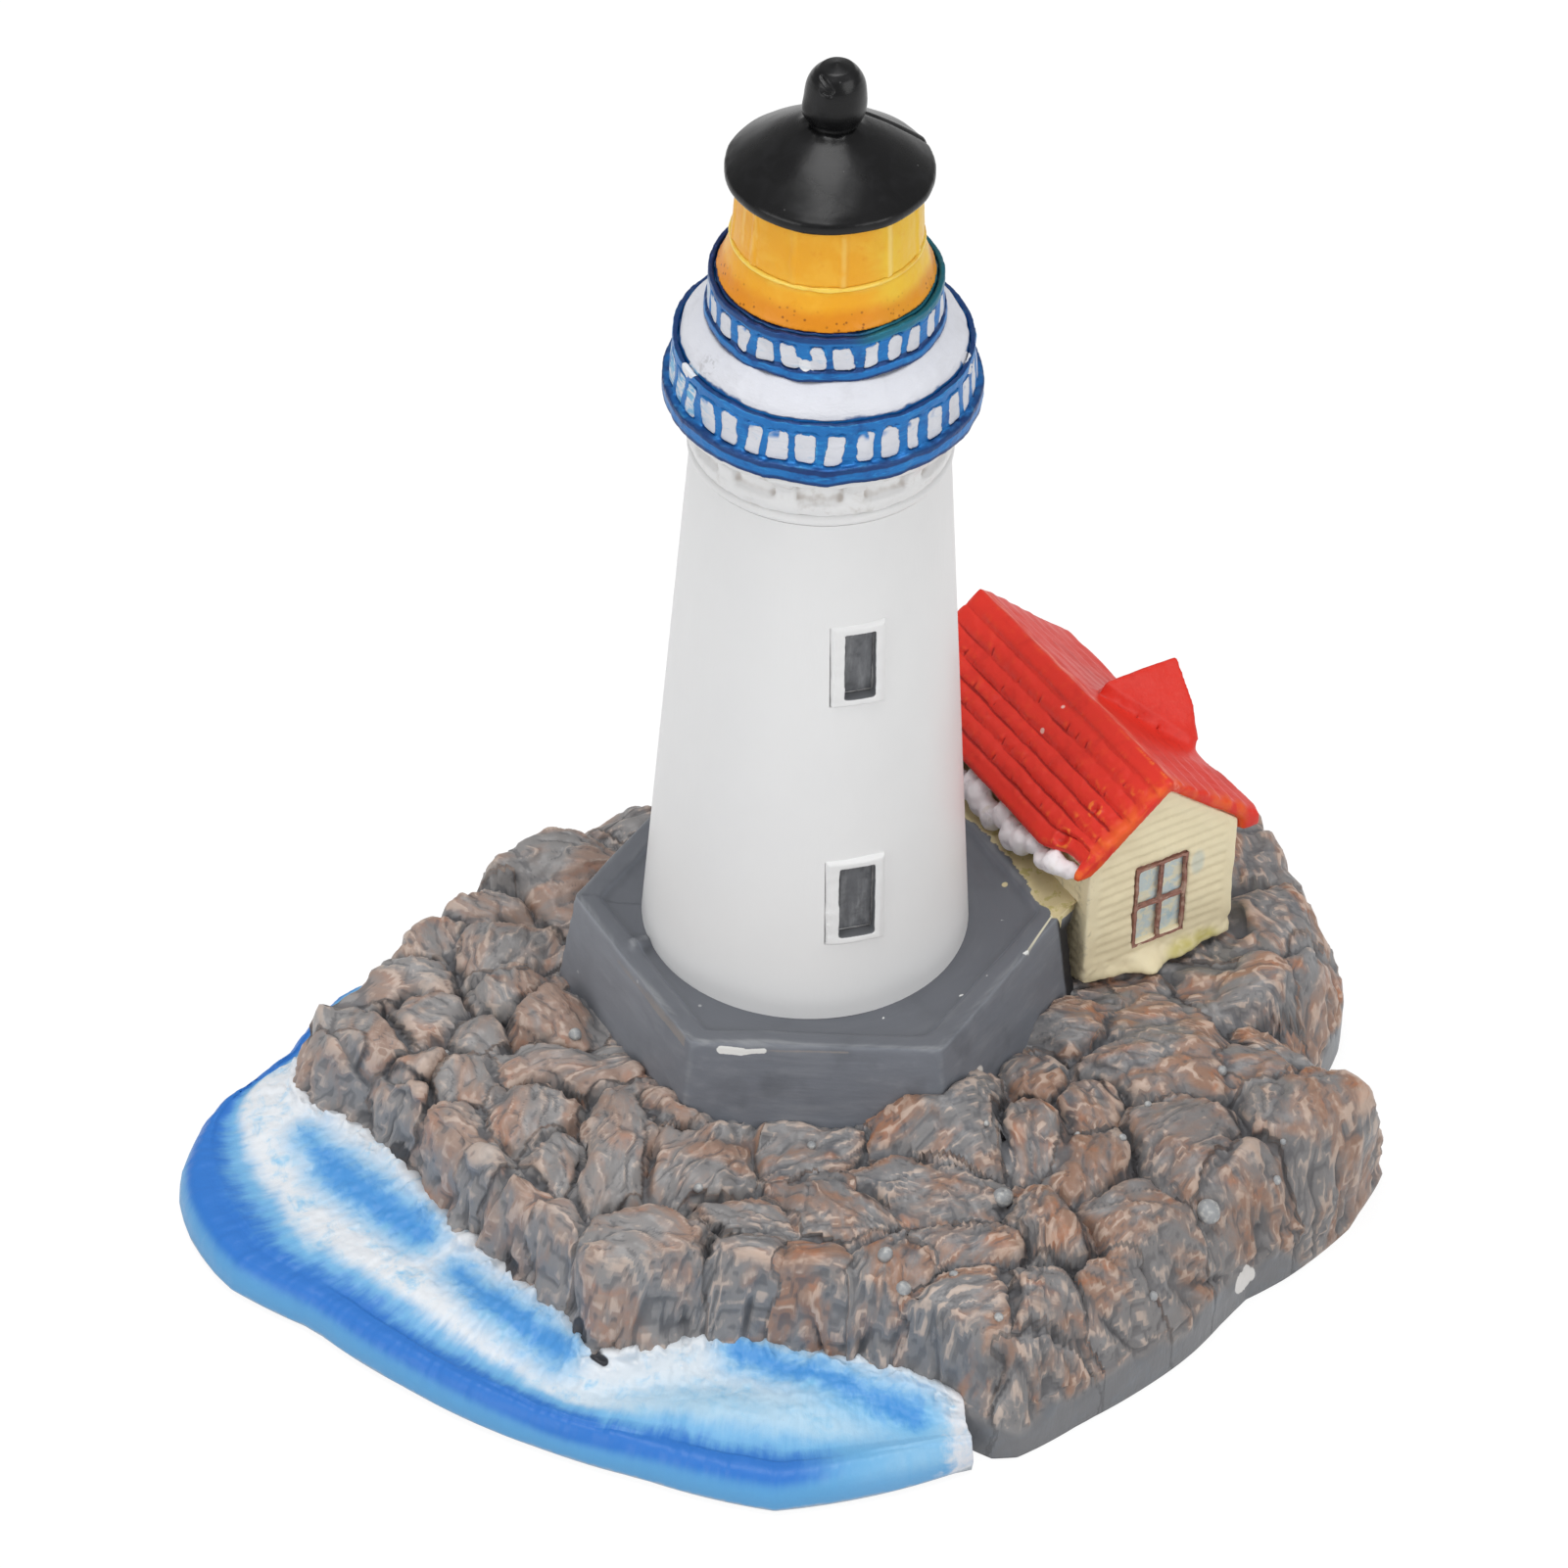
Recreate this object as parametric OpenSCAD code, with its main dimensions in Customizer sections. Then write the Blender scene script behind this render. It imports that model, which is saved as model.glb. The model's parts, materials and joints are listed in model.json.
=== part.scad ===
// Lighthouse figurine: a tower on a six-sided plinth, a cottage beside it,
// both standing on a rock island with a plate of painted sea at its left and front.
// Millimetres, +Z up. The tower's axis is the Z axis and the table is at Z = 0.

/* [Island] */
// Width of the island with its sea, from the sea's left end to the lobe at the right
base_w = 92.4; // [86:0.1:98]
// Height of the rock plateau above the table
plateau_h = 11.5; // [9:0.5:16]
// Height of the smooth band at the foot of the cliffs, which is also the height of the sea at the shore
band_h = 4.5; // [3:0.25:6]
// Height of the sea plate at its outer rim
sea_rim_h = 3; // [2:0.25:4]
// How far the top of a large boulder stands above the ground between the boulders
boulder_rise = 1.7; // [0.8:0.1:2.6]
// Depth of the dark gaps between two boulders
crevice_d = 1.5; // [0.6:0.1:2.2]

/* [Plinth] */
// Distance across two opposite corners of the plinth's kerb
plinth_corner_d = 37.5; // [35:0.5:39]
// Height of the plinth's wall above the plateau
plinth_wall_h = 7.3; // [5:0.1:10]
// Width of the kerb, across its flat top
kerb_w = 1.7; // [1.2:0.1:2.2]
// Depth of the sunken floor inside the kerb
kerb_d = 0.8; // [0.4:0.1:1.6]
// Slope of the plinth's walls, as sideways run for each millimetre of height
plinth_batter = 0.12; // [0.02:0.02:0.2]
// Depth to which the plinth is let into the rock
plinth_seat = 3.5; // [2:0.5:5]

/* [Tower] */
// Diameter of the tower at the plinth's floor
tower_foot_d = 25; // [22:0.5:27]
// Diameter of the tower under its moulding
tower_top_d = 19; // [17:0.5:20]
// Height of the tower from the plinth's floor to its moulding
tower_h = 45; // [38:1:60]
// Height of the half-round moulding
bead_h = 0.9; // [0.6:0.1:1.4]
// How far the moulding stands out from the tower
bead_out = 0.22; // [0.1:0.02:0.5]

/* [Windows] */
// Direction of both windows, from the front towards the right
window_turn = 17; // [0:1:40]
// Height of the lower window's middle above the plinth's floor
window_low_z = 10.9; // [9:0.1:15]
// Height of the upper window's middle above the plinth's floor
window_high_z = 32.5; // [24:0.1:33]
// Width of the frame round the lower window
window_low_w = 4.1; // [3:0.1:4.5]
// Width of the frame round the upper window
window_high_w = 3.7; // [3:0.1:4.5]
// Height of the frame round the lower window
window_low_h = 7.6; // [6:0.1:9]
// Height of the frame round the upper window
window_high_h = 7; // [6:0.1:8]
// Width of the frame's border
window_border = 0.74; // [0.4:0.02:0.9]
// How far the frame stands out from the tower
window_out = 0.25; // [0.15:0.05:0.6]

/* [Gallery] */
// Height of the corbel ring between the moulding and the gallery
corbel_h = 4.4; // [3:0.2:6]
// Number of brackets round the corbel ring
corbel_count = 12; // [8:1:16]
// Diameter of the gallery railing's rolled foot
gallery_foot_d = 23.2; // [21.5:0.1:25]
// Diameter of the gallery railing's top rail
gallery_rail_d = 21.8; // [20.5:0.1:22.5]
// Height of the gallery railing's foot
gallery_foot_h = 1.5; // [0.8:0.1:2]
// Height of the gallery railing
gallery_rail_h = 4.9; // [3.5:0.1:7]
// Number of posts in the gallery railing
gallery_posts = 34; // [24:1:40]
// Height of the domed deck above the gallery railing
deck_rise = 2; // [1:0.1:3]

/* [Watch room] */
// Diameter of the upper railing's rolled foot
watch_foot_d = 17.4; // [16.4:0.1:18.4]
// Diameter of the upper railing's top rail
watch_rail_d = 16.9; // [16.2:0.1:17.2]
// Height of the upper railing's foot
watch_foot_h = 0.9; // [0.6:0.1:1.4]
// Height of the upper railing
watch_rail_h = 3.8; // [3:0.1:5]
// Number of posts in the upper railing
watch_posts = 27; // [20:1:32]

/* [Railings] */
// Width of a railing post
post_w = 0.7; // [0.4:0.02:0.9]
// How far the posts stand out from the white wall behind them
post_out = 0.42; // [0.25:0.02:0.6]
// Height of a top rail
rail_t = 0.75; // [0.5:0.05:1]

/* [Lantern] */
// Diameter of the lantern's glazing at the sill
lantern_d = 13.7; // [12:0.1:14.4]
// Diameter of the lantern's glazing under the roof
lantern_top_d = 13.1; // [11.5:0.1:13.7]
// Height of the flared base under the sill
flare_h = 2.9; // [2:0.1:4]
// Height of the glazing from the sill to the roof
glazing_h = 5.3; // [4:0.1:8]
// Number of glazing bars round the lantern
glazing_bars = 12; // [8:1:16]
// Width of a glazing bar
bar_w = 0.45; // [0.3:0.05:0.8]

/* [Roof] */
// Diameter of the lantern roof's rim
roof_d = 14.9; // [14.4:0.1:17]
// Height of the rim's upright edge
roof_rim_h = 0.9; // [0.5:0.1:1.6]
// Height of the roof above its rim
roof_rise = 3.4; // [2.4:0.1:5]
// Diameter of the roof's neck under the vent ball
neck_d = 3.8; // [3:0.1:4]
// Diameter of the vent ball
ball_d = 4.2; // [4.1:0.1:5.4]
// Height of the vent ball above the neck
ball_h = 5.3; // [4.5:0.1:7]

/* [Cottage] */
// Width of the cottage across its gable
cottage_w = 13.6; // [11:0.1:14]
// Length of the cottage along its ridge
cottage_l = 26.8; // [21:0.2:27.8]
// Height of the cottage's walls at the eaves
cottage_wall_h = 11.6; // [9:0.1:13]
// Rise of the gable above the eaves
gable_rise = 5.8; // [4.8:0.1:7]
// How far the cottage's front corner lies in front of the middle of the plinth's side
cottage_along = 10.6; // [9:0.1:12]
// Gap between the cottage's front corner and the foot of the plinth's wall
cottage_gap = 0.3; // [0.2:0.05:0.8]
// How far the cottage is turned from the plinth's side
cottage_skew = 2; // [0:0.5:4]
// Thickness of the roof, square to its slope
roof_t = 1.45; // [1:0.05:1.8]
// Overhang of the roof beyond the side wall that faces the tower
eave_left_out = 1.4; // [0.8:0.1:1.8]
// Overhang of the roof beyond the other side wall
eave_right_out = 1.9; // [1.4:0.1:2.6]
// How far the right-hand eave's thick lip hangs below the top of the wall
lip_drop = 1.4; // [1.2:0.1:2]
// Overhang of the roof beyond the gables
verge_out = 0.4; // [0.2:0.1:0.8]
// Number of tile courses on each slope
courses = 7; // [5:1:9]
// Height of the step from one tile course to the next
course_step = 0.28; // [0.1:0.02:0.4]
// Number of weatherboards in the height of a wall
boards = 12; // [8:1:14]
// How far the lower edge of a weatherboard stands out
board_lip = 0.18; // [0.08:0.02:0.3]
// Width of the boards at the corners
corner_w = 0.9; // [0.6:0.1:1.4]
// Half the width of the cross gable at its eaves
cross_half_w = 4.9; // [4:0.1:6]
// Height of the cross gable's ridge below the main ridge
cross_drop = 1.2; // [0.8:0.1:2]
// Distance of the cross gable's middle from the front wall
cross_along = 12.2; // [9:0.1:15]

/* [Cottage window] */
// Width of the window's frame
pane_w = 4.7; // [3.5:0.1:6]
// Height of the window's frame
pane_h = 7.6; // [6:0.1:8.5]
// Height of the frame's lower edge above the cottage's foot
pane_z = 2.6; // [1.6:0.1:3]
// Width of the frame's bars
pane_bar = 0.42; // [0.36:0.02:0.8]

/* [Fits] */
// Clearance between a piece and the pocket or spigot that it seats on
fit = 0.1; // [0.05:0.01:0.15]
// Height of the round spigots that centre one piece of the tower on the next
peg_h = 1.2; // [0.8:0.1:1.6]
// Diameter of those spigots
peg_d = 8; // [5:0.5:9]

/* [Hidden] */
$fn = 96;

// Shortest overlap that makes a cut or a join clean
nick = 0.01;

// Heights of the seats, from the table up
plinth_z = plateau_h - plinth_seat;
kerb_z = plateau_h + plinth_wall_h;
floor_z = kerb_z - kerb_d;
moulding_z = floor_z + tower_h;
corbel_z = moulding_z + bead_h;
gallery_z = corbel_z + corbel_h;
deck_z = gallery_z + gallery_rail_h;
watch_z = deck_z + deck_rise;
lantern_z = watch_z + watch_rail_h;
sill_z = lantern_z + flare_h;
roof_z = sill_z + glazing_h;
neck_z = roof_z + roof_rim_h + roof_rise;

// The plinth's middle lies a little to the right of the tower's axis
plinth_x = 1.1;
plinth_r = plinth_corner_d / 2;
kerb_inner_r = plinth_r - kerb_w / cos(30);
tower_spigot_h = 3;
tower_spigot_d = 16;

// Walls of the gallery and the watch room, behind their railings
gallery_wall_top_r = gallery_rail_d / 2 - post_out - fit;
gallery_wall_foot_r = gallery_foot_d / 2 - 2 * post_out;
watch_wall_top_r = watch_rail_d / 2 - post_out - fit;
watch_wall_foot_r = watch_foot_d / 2 - post_out - 2 * fit;

// The cottage's long side lies nearly along the plinth's side that looks to the right and back
side_turn = 30;
cottage_turn = side_turn + cottage_skew;
cottage_z = plateau_h - 0.5;
cottage_side = plinth_r * cos(30) + plinth_batter * (kerb_z - cottage_z) + cottage_gap;
slope = atan2(gable_rise, cottage_w / 2);
roof_drop = roof_t / cos(slope);
ridge_z = cottage_wall_h + gable_rise + roof_drop;
cross_slope = 48;
cross_ridge_z = ridge_z - cross_drop;
cross_t = roof_t / cos(cross_slope);
pane_recess = 0.5;
pane_t = 0.2;

// Points of the island's foot, counted anticlockwise from the right and seen from above
island_outline = [
    [40.2, 0], [41.5, 3], [42.6, 6.5], [42.2, 10], [41, 14], [39.6, 18.5], [37.8, 22.5], [34.5, 27],
    [28.5, 31.5], [21.5, 33], [12, 31.5], [0, 28.5], [-8, 25.5], [-14, 22], [-20, 16.8], [-24.5, 14.9],
    [-26.9, 12.1], [-28, 9.5], [-30, 7.6], [-32.6, 4.4], [-34.5, -1], [-36, -3.2], [-39.5, -5.2],
    [-38.5, -8], [-34, -11.3], [-31, -14.2], [-28.5, -18.8], [-26.5, -21.7], [-22.6, -25],
    [-20.4, -28.2], [-17.4, -30.7], [-16, -34.3], [-14, -35.7], [-10.3, -34.6], [-7, -33.3],
    [-2.8, -33.3], [1, -34], [5.5, -34.8], [8, -36], [10.5, -37.6], [13.4, -39.4], [15, -40.3],
    [16, -40.6], [17.6, -39.6], [21.8, -36.2], [26, -32.8], [29.8, -29], [32.6, -25], [34.2, -22.8],
    [37.2, -20.5], [40.2, -17.4], [42.4, -14.7], [43.4, -12.5], [44.5, -10.4], [45.2, -8.6],
    [44, -7.2], [41.2, -5.6], [39.6, -3.1]
];

// Points of the sea's outer rim, from the back left round to the front
sea_outline = [
    [-31.2, 9.3], [-33.4, 7], [-35, 6.3], [-36.8, 5.1], [-38.2, 2.8], [-39.5, 0.2], [-40.4, -2],
    [-44, -6.4], [-45.6, -8.3], [-46.6, -11.3], [-47.2, -14.4], [-47, -17], [-45.6, -21],
    [-42.8, -25.3], [-36, -29.5], [-28.5, -35.5], [-18.4, -41.2], [-11, -43.9], [-1, -46.8],
    [11.5, -42.8], [15, -41]
];

// Boulders: middle in x and y, half length, half width, turn, and rise as a share of boulder_rise
boulders = [
    [-36.5, -10.5, 4, 2, 0, 0.5], [-32, -8.5, 2.6, 2.4, 0, 1], [-31.5, -14, 3, 2.4, 15, 0.9],
    [-28.5, -11.5, 3, 1.6, 25, 1.1], [-28.5, -6.5, 3.2, 2.4, 20, 1], [-30, -2, 3, 2.6, 0, 0.9],
    [-29, 3.5, 3.2, 3, 40, 0.4], [-25.5, 7.5, 3.2, 2.6, 0, 0.6], [-20.8, 12.3, 5, 3.8, 0, 1.7],
    [-24, 1.5, 2.8, 3.2, 0, 0.9], [-22.5, -3, 2.8, 2.6, 0, 1], [-19.6, -6.5, 2.4, 3.4, 10, 1.6],
    [-25, -8.5, 2, 2.6, 0, 0.8], [-25, -13, 2.2, 3, 0, 1], [-18.5, -11.8, 5, 2, -5, 1.3],
    [-20.5, -16.6, 3.2, 3, 0, 1.1], [-25.6, -18.5, 2.2, 2.8, 40, 0.7], [-24, -22, 2.2, 1.8, 0, 1],
    [-21.4, -25, 3, 2.4, -20, 1], [-17.8, -21.6, 2, 3, 0, 0.8], [-18.6, -28.4, 2.6, 2.2, 0, 1],
    [-13.8, -20.6, 2.6, 6.5, -8, 1.7], [-8.4, -21.5, 3.2, 3.6, 0, 1.2], [-10.8, -31, 4.6, 3.8, 0, 1.7],
    [-10, -16.5, 2.6, 2, -30, 0.9], [-4.5, -27.2, 3.2, 2, -20, 0.7], [-4, -31.5, 3.2, 2.4, 0, 1],
    [1.5, -19.5, 3, 1.8, 0, 0.5], [3.5, -26, 3.6, 2.6, -35, 1.2], [9, -24, 5.4, 2.8, -10, 1.4],
    [1, -32, 3, 2.2, 0, 0.9], [7, -31.5, 3, 3, 0, 0.7], [12.5, -29.5, 5, 2, 8, 1.1],
    [11.6, -17.2, 4.6, 4.4, 0, 2.1], [17.2, -17.6, 3, 3.6, 10, 1.3], [13.5, -34.5, 4.4, 2.4, 5, 1],
    [18.6, -27.4, 2.4, 3.4, 15, 1.8], [22, -20.5, 3, 4.4, -15, 1.2], [24.4, -25.8, 3.4, 3, 0, 1.3],
    [18, -34, 3.8, 2.6, 10, 0.9], [23.5, -31.5, 2.6, 2.4, 0, 0.9], [20, -37.5, 4, 2.2, -30, 0.8],
    [27.2, -9.4, 5, 4, 5, 1.3], [20.4, -5.2, 2.4, 2.6, 0, 0.9], [18.4, -10.5, 2.2, 2.4, 0, 0.6],
    [22, -13.6, 2.6, 3, 0, 0.8], [29.2, -16.8, 3.8, 4.2, 20, 1.2], [38.4, -13.6, 5, 4.4, 15, 1.1],
    [34.6, -9, 2.8, 2, -20, 0.9], [38.2, -4.6, 3.2, 3.4, 10, 0.2], [33.8, -20, 3.4, 3, 30, 0.9],
    [35.8, 0.4, 2.8, 3, 0, 1.2], [39.6, 3, 2.6, 3.4, 0, 0.7], [36.6, 8, 3.2, 4, 15, 1],
    [35, 15, 3.6, 4.4, 25, 0.7], [31.5, 22, 4, 3.8, 0, 1.1], [26.5, 28.6, 4.2, 3.2, 20, 1],
    [17.5, 32.2, 4.4, 2.6, 0, 0.9], [9, 29.5, 4, 3.6, 0, 1.1], [2.4, 25.4, 3.8, 4, 15, 1],
    [-4.5, 27.5, 3.8, 3.2, 0, 1], [-9.5, 21.5, 3.8, 3.6, 30, 1.3], [-14, 26, 3.4, 3, 0, 0.9],
    [-15.5, 17.6, 3.4, 2.8, 35, 1.2], [-21.5, 19.4, 3.6, 3, 40, 0.9], [-27, 14, 3, 3.2, 0, 0.8]
];

// Width of the slope between the smooth band and the plateau, by direction in degrees
cliff_run = [[0, 3.6], [150, 4], [164, 3], [180, 2.4], [286, 2], [300, 4.5], [332, 4],
    [344, 2.6], [347, 4], [351, 8], [355, 6], [360, 3.6]];

// How far the rock overhangs its foot, by direction in degrees, where a lobe bulges out
brow = [[0, 0], [336, 0.1], [341, 1.4], [345, 1.8], [348, 0.6], [350, 0], [360, 0]];

// Depth of the upright clefts in the cliffs, one at every third direction
cleft_d = 0.55;

// Share of the way in from the foot over which a cleft and an overhang die out
cleft_in = 0.17;
brow_in = 0.14;

// Directions and rings at which the rock's surface is worked out
columns = 150;
rings = 19;
sector = 360 / columns;
core_r = 15;
core_z = plateau_h - 1;
ring_crowding = 1.25;

// The outlines are drawn for one width, and the island is stretched from that to the width asked for
drawn_w = max([for (p = island_outline) p.x]) - min([for (p = sea_outline) p.x]);
base_scale = base_w / drawn_w;

// A list of points as a table of radius by direction, closed on itself where it goes right round
full_turn = 360;
function bearing(p) = let (a = atan2(p.y, p.x)) a < 0 ? a + full_turn : a;
function polar(points) = [for (p = points) [bearing(p), base_scale * norm(p)]];
island_table = concat(polar(island_outline), [[full_turn, base_scale * norm(island_outline[0])]]);
sea_table = polar(sea_outline);
function island_r(a) = lookup(a, island_table);
function sea_r(a) = lookup(a, sea_table);
sea_first = ceil(sea_table[0][0] / sector);
sea_last = floor(sea_table[len(sea_table) - 1][0] / sector);

function mix(a, b, t) = a + (b - a) * t;
function ease(t) = let (s = min(1, max(0, t))) s * s * (3 - 2 * s);

// A boulder's middle, and the two rows that turn an offset into its own lengths
function boulder_frame(b) = let (l = b[2] * base_scale, w = b[3] * base_scale)
    [b.x * base_scale, b.y * base_scale, cos(b[4]) / l, sin(b[4]) / l, -sin(b[4]) / w, cos(b[4]) / w, b[5]];
stones = [for (b = boulders) boulder_frame(b)];
function stone_reach(s, x, y) = norm([(x - s[0]) * s[2] + (y - s[1]) * s[3],
    (x - s[0]) * s[4] + (y - s[1]) * s[5]]);

// How much lower a boulder is at its edge, as a share of its rise, and how near a crack begins
crown_fall = 0.45;
crown_reach = 1.4;
crack_reach = 0.42;

// Each point belongs to its nearest boulder, and the ground drops where two are equally near
function boulder_z(x, y) =
    let (reach = [for (s = stones) stone_reach(s, x, y)],
         near = min(reach),
         which = search(near, reach)[0],
         next = min([for (k = [0 : len(reach) - 1]) if (k != which) reach[k]]),
         crown = boulder_rise * stones[which][6] * (1 - crown_fall * pow(min(crown_reach, near), 2)),
         crack = crevice_d * pow(max(0, 1 - (next - near) / crack_reach), 2))
    crown - crack;

// A place in the cottage's own directions, along its gable and along its ridge
cottage_corner = [
    plinth_x + cottage_side * cos(side_turn) + cottage_along * sin(side_turn),
    cottage_side * sin(side_turn) - cottage_along * cos(side_turn)
];
function along_gable(x, y) = (x - cottage_corner.x) * cos(cottage_turn)
    + (y - cottage_corner.y) * sin(cottage_turn);
function along_ridge(x, y) = (y - cottage_corner.y) * cos(cottage_turn)
    - (x - cottage_corner.x) * sin(cottage_turn);
pad_margin = 1.6;
pad_over = 0.2;
ground_drop = 0.8;
shore_blend = 2;
function under_cottage(x, y) = let (g = along_gable(x, y), r = along_ridge(x, y))
    g > -pad_margin && g < cottage_w + pad_margin && r > -pad_margin && r < cottage_l + pad_margin;

// Height of the rock at a place, edge being its distance in from the island's foot
function rock_z(x, y, a, edge) =
    let (ground = mix(band_h, plateau_h - ground_drop, ease(edge / lookup(a, cliff_run))),
         rough = ground + boulder_z(x, y) * ease(edge / shore_blend))
    under_cottage(x, y) ? max(rough, cottage_z + pad_over) : max(rough, band_h);

function rock_ring(k) = [for (i = [0 : columns - 1])
    let (a = i * sector,
         s = pow(k / rings, ring_crowding),
         rim = island_r(a),
         level_r = mix(rim, core_r, s),
         cleft = i % 3 == 0 && k > 0 ? cleft_d * ease(1.4 * (1 - s / cleft_in)) : 0,
         r = level_r + lookup(a, brow) * sin(180 * min(1, s / brow_in)) - cleft,
         z = rock_z(level_r * cos(a), level_r * sin(a), a, rim - level_r))
    [r * cos(a), r * sin(a), k == 0 ? band_h : k == rings ? core_z : z]];

function foot_ring() = [for (i = [0 : columns - 1]) let (a = i * sector, r = island_r(a))
    [r * cos(a), r * sin(a), 0]];

// A closed skin over a row of closed loops that have the same number of points
module skin(loops) {
    n = len(loops[0]);
    m = len(loops);
    points = [for (loop = loops) each loop];
    sides = [for (k = [0 : m - 2], i = [0 : n - 1]) let (j = (i + 1) % n) each [
        [k * n + i, (k + 1) * n + i, (k + 1) * n + j],
        [k * n + i, (k + 1) * n + j, k * n + j]
    ]];
    polyhedron(points, concat(sides, [[for (i = [0 : n - 1]) i]],
        [[for (i = [n - 1 : -1 : 0]) (m - 1) * n + i]]), convexity = 10);
}

// The plinth's battered outer form, grown sideways by a clearance
module plinth_form(bottom, top, grow) {
    translate([plinth_x, 0, bottom])
        cylinder(h = top - bottom, r1 = plinth_r + plinth_batter * (kerb_z - bottom) / cos(30) + grow,
            r2 = plinth_r + plinth_batter * (kerb_z - top) / cos(30) + grow, $fn = 6);
}

// Puts its children in the cottage's own frame: gable along x, ridge along y, foot at z = 0
module at_cottage() {
    translate([cottage_corner.x, cottage_corner.y, cottage_z]) rotate([0, 0, cottage_turn]) children();
}

module rock_island() {
    color("dimgray") difference() {
        skin(concat([foot_ring()], [for (k = [0 : rings]) rock_ring(k)]));
        plinth_form(plinth_z, kerb_z + 1, fit);
        at_cottage() translate([-2 * fit, -2 * fit, 0])
            cube([cottage_w + 4 * fit, cottage_l + 4 * fit, cottage_wall_h]);
    }
}

// Height of the sea between the shore and the rim, as a share of the fall between them
sea_profile = [[0, 0], [0.12, 0.25], [0.3, 0.6], [0.5, 0.72], [0.7, 0.95], [0.86, 0.85], [0.95, 1]];
swell = 0.25;
swell_turns = 9;
swell_lag = 70;
sea_least_w = 0.5;

function sea_section(i) =
    let (a = i * sector,
         inner = island_r(a) + fit,
         outer = max(sea_r(a), inner + sea_least_w),
         width = outer - inner,
         roll = min(sea_rim_h / 2, width / 3),
         steps = len(sea_profile))
    [for (p = concat(
        [[inner, 0], [inner, band_h]],
        [for (s = [1 : steps - 1]) [
            inner + width * sea_profile[s][0],
            mix(band_h, sea_rim_h, sea_profile[s][1])
                + (s < steps - 2 ? swell * sin(a * swell_turns + s * swell_lag) : 0)]],
        [[outer, sea_rim_h - roll], [outer - roll / 3, 0]]))
        [p[0] * cos(a), p[0] * sin(a), p[1]]];

module sea_apron() {
    color("dodgerblue") skin([for (i = [sea_first : sea_last]) sea_section(i)]);
}

module plinth() {
    color("slategray") difference() {
        plinth_form(plinth_z, kerb_z, 0);
        translate([plinth_x, 0, floor_z]) cylinder(h = kerb_d + 1, r = kerb_inner_r, $fn = 6);
        translate([0, 0, floor_z - tower_spigot_h])
            cylinder(h = tower_spigot_h + 1, d = tower_spigot_d + 2 * fit);
        at_cottage() translate([-fit, -fit, -1])
            cube([cottage_w, cottage_l + 2 * fit, cottage_wall_h]);
    }
}

function tower_r(z) = mix(tower_foot_d, tower_top_d, (z - floor_z) / tower_h) / 2;

// The tower's outer surface as a solid cone, grown sideways, between two heights
module tower_cone(bottom, top, grow) {
    translate([0, 0, bottom])
        cylinder(h = top - bottom, r1 = tower_r(bottom) + grow, r2 = tower_r(top) + grow);
}

// Distance from the tower's axis to the flat bottom of a window's pocket
window_bite = 0.2;
function pocket_x(z, w, h) = sqrt(pow(tower_r(z + h / 2), 2) - pow(w / 2, 2)) - window_bite;

// A block that faces outwards from the pocket of a window of width w and height h, grown sideways
module window_block(z, w, h, grow, depth) {
    rotate([0, 0, window_turn - 90]) translate([pocket_x(z, w, h), -w / 2 - grow, z - h / 2 - grow])
        cube([depth, w + 2 * grow, h + 2 * grow]);
}

module window_frame(z, w, h) {
    color("white") difference() {
        intersection() {
            tower_cone(z - h, z + h, window_out);
            window_block(z, w, h, 0, tower_foot_d);
        }
        window_block(z, w, h, -window_border, tower_foot_d);
    }
}

module window_pane(z, w, h) {
    color("dimgray") window_block(z, w, h, -window_border - fit / 2, pane_t);
}

low_z = floor_z + window_low_z;
high_z = floor_z + window_high_z;

// A round spigot on top of a piece, and the socket for it in the piece above
module peg(z, d) {
    translate([0, 0, z - nick]) cylinder(h = peg_h + nick, d = d);
}
module socket(z, d) {
    translate([0, 0, z - 1]) cylinder(h = peg_h + fit + 1, d = d + 2 * fit);
}

module tower() {
    color("white") {
        difference() {
            union() {
                tower_cone(floor_z, moulding_z, 0);
                translate([0, 0, floor_z - tower_spigot_h + fit])
                    cylinder(h = tower_spigot_h, d = tower_spigot_d);
                translate([0, 0, moulding_z]) rotate_extrude() {
                    square([tower_top_d / 2 - bead_h / 2 + bead_out, bead_h]);
                    translate([tower_top_d / 2 - bead_h / 2 + bead_out, bead_h / 2])
                        circle(d = bead_h, $fn = 32);
                }
                peg(corbel_z, peg_d);
            }
            window_block(low_z, window_low_w, window_low_h, fit / 2, tower_foot_d);
            window_block(high_z, window_high_w, window_high_h, fit / 2, tower_foot_d);
        }
    }
}

module lower_window_frame() { window_frame(low_z, window_low_w, window_low_h); }
module lower_window_pane() { window_pane(low_z, window_low_w, window_low_h); }
module upper_window_frame() { window_frame(high_z, window_high_w, window_high_h); }
module upper_window_pane() { window_pane(high_z, window_high_w, window_high_h); }

// The corbel ring: a coved band whose brackets carry the gallery, with shaded bays between them
bay_d = 0.75;
bracket_w = 1.5;
corbel_foot_r = tower_top_d / 2 + bead_out - 0.1;
corbel_head_r = gallery_foot_d / 2 - 0.5;
shelf_h = corbel_h * 0.24;
head_h = corbel_h * 0.16;

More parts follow.
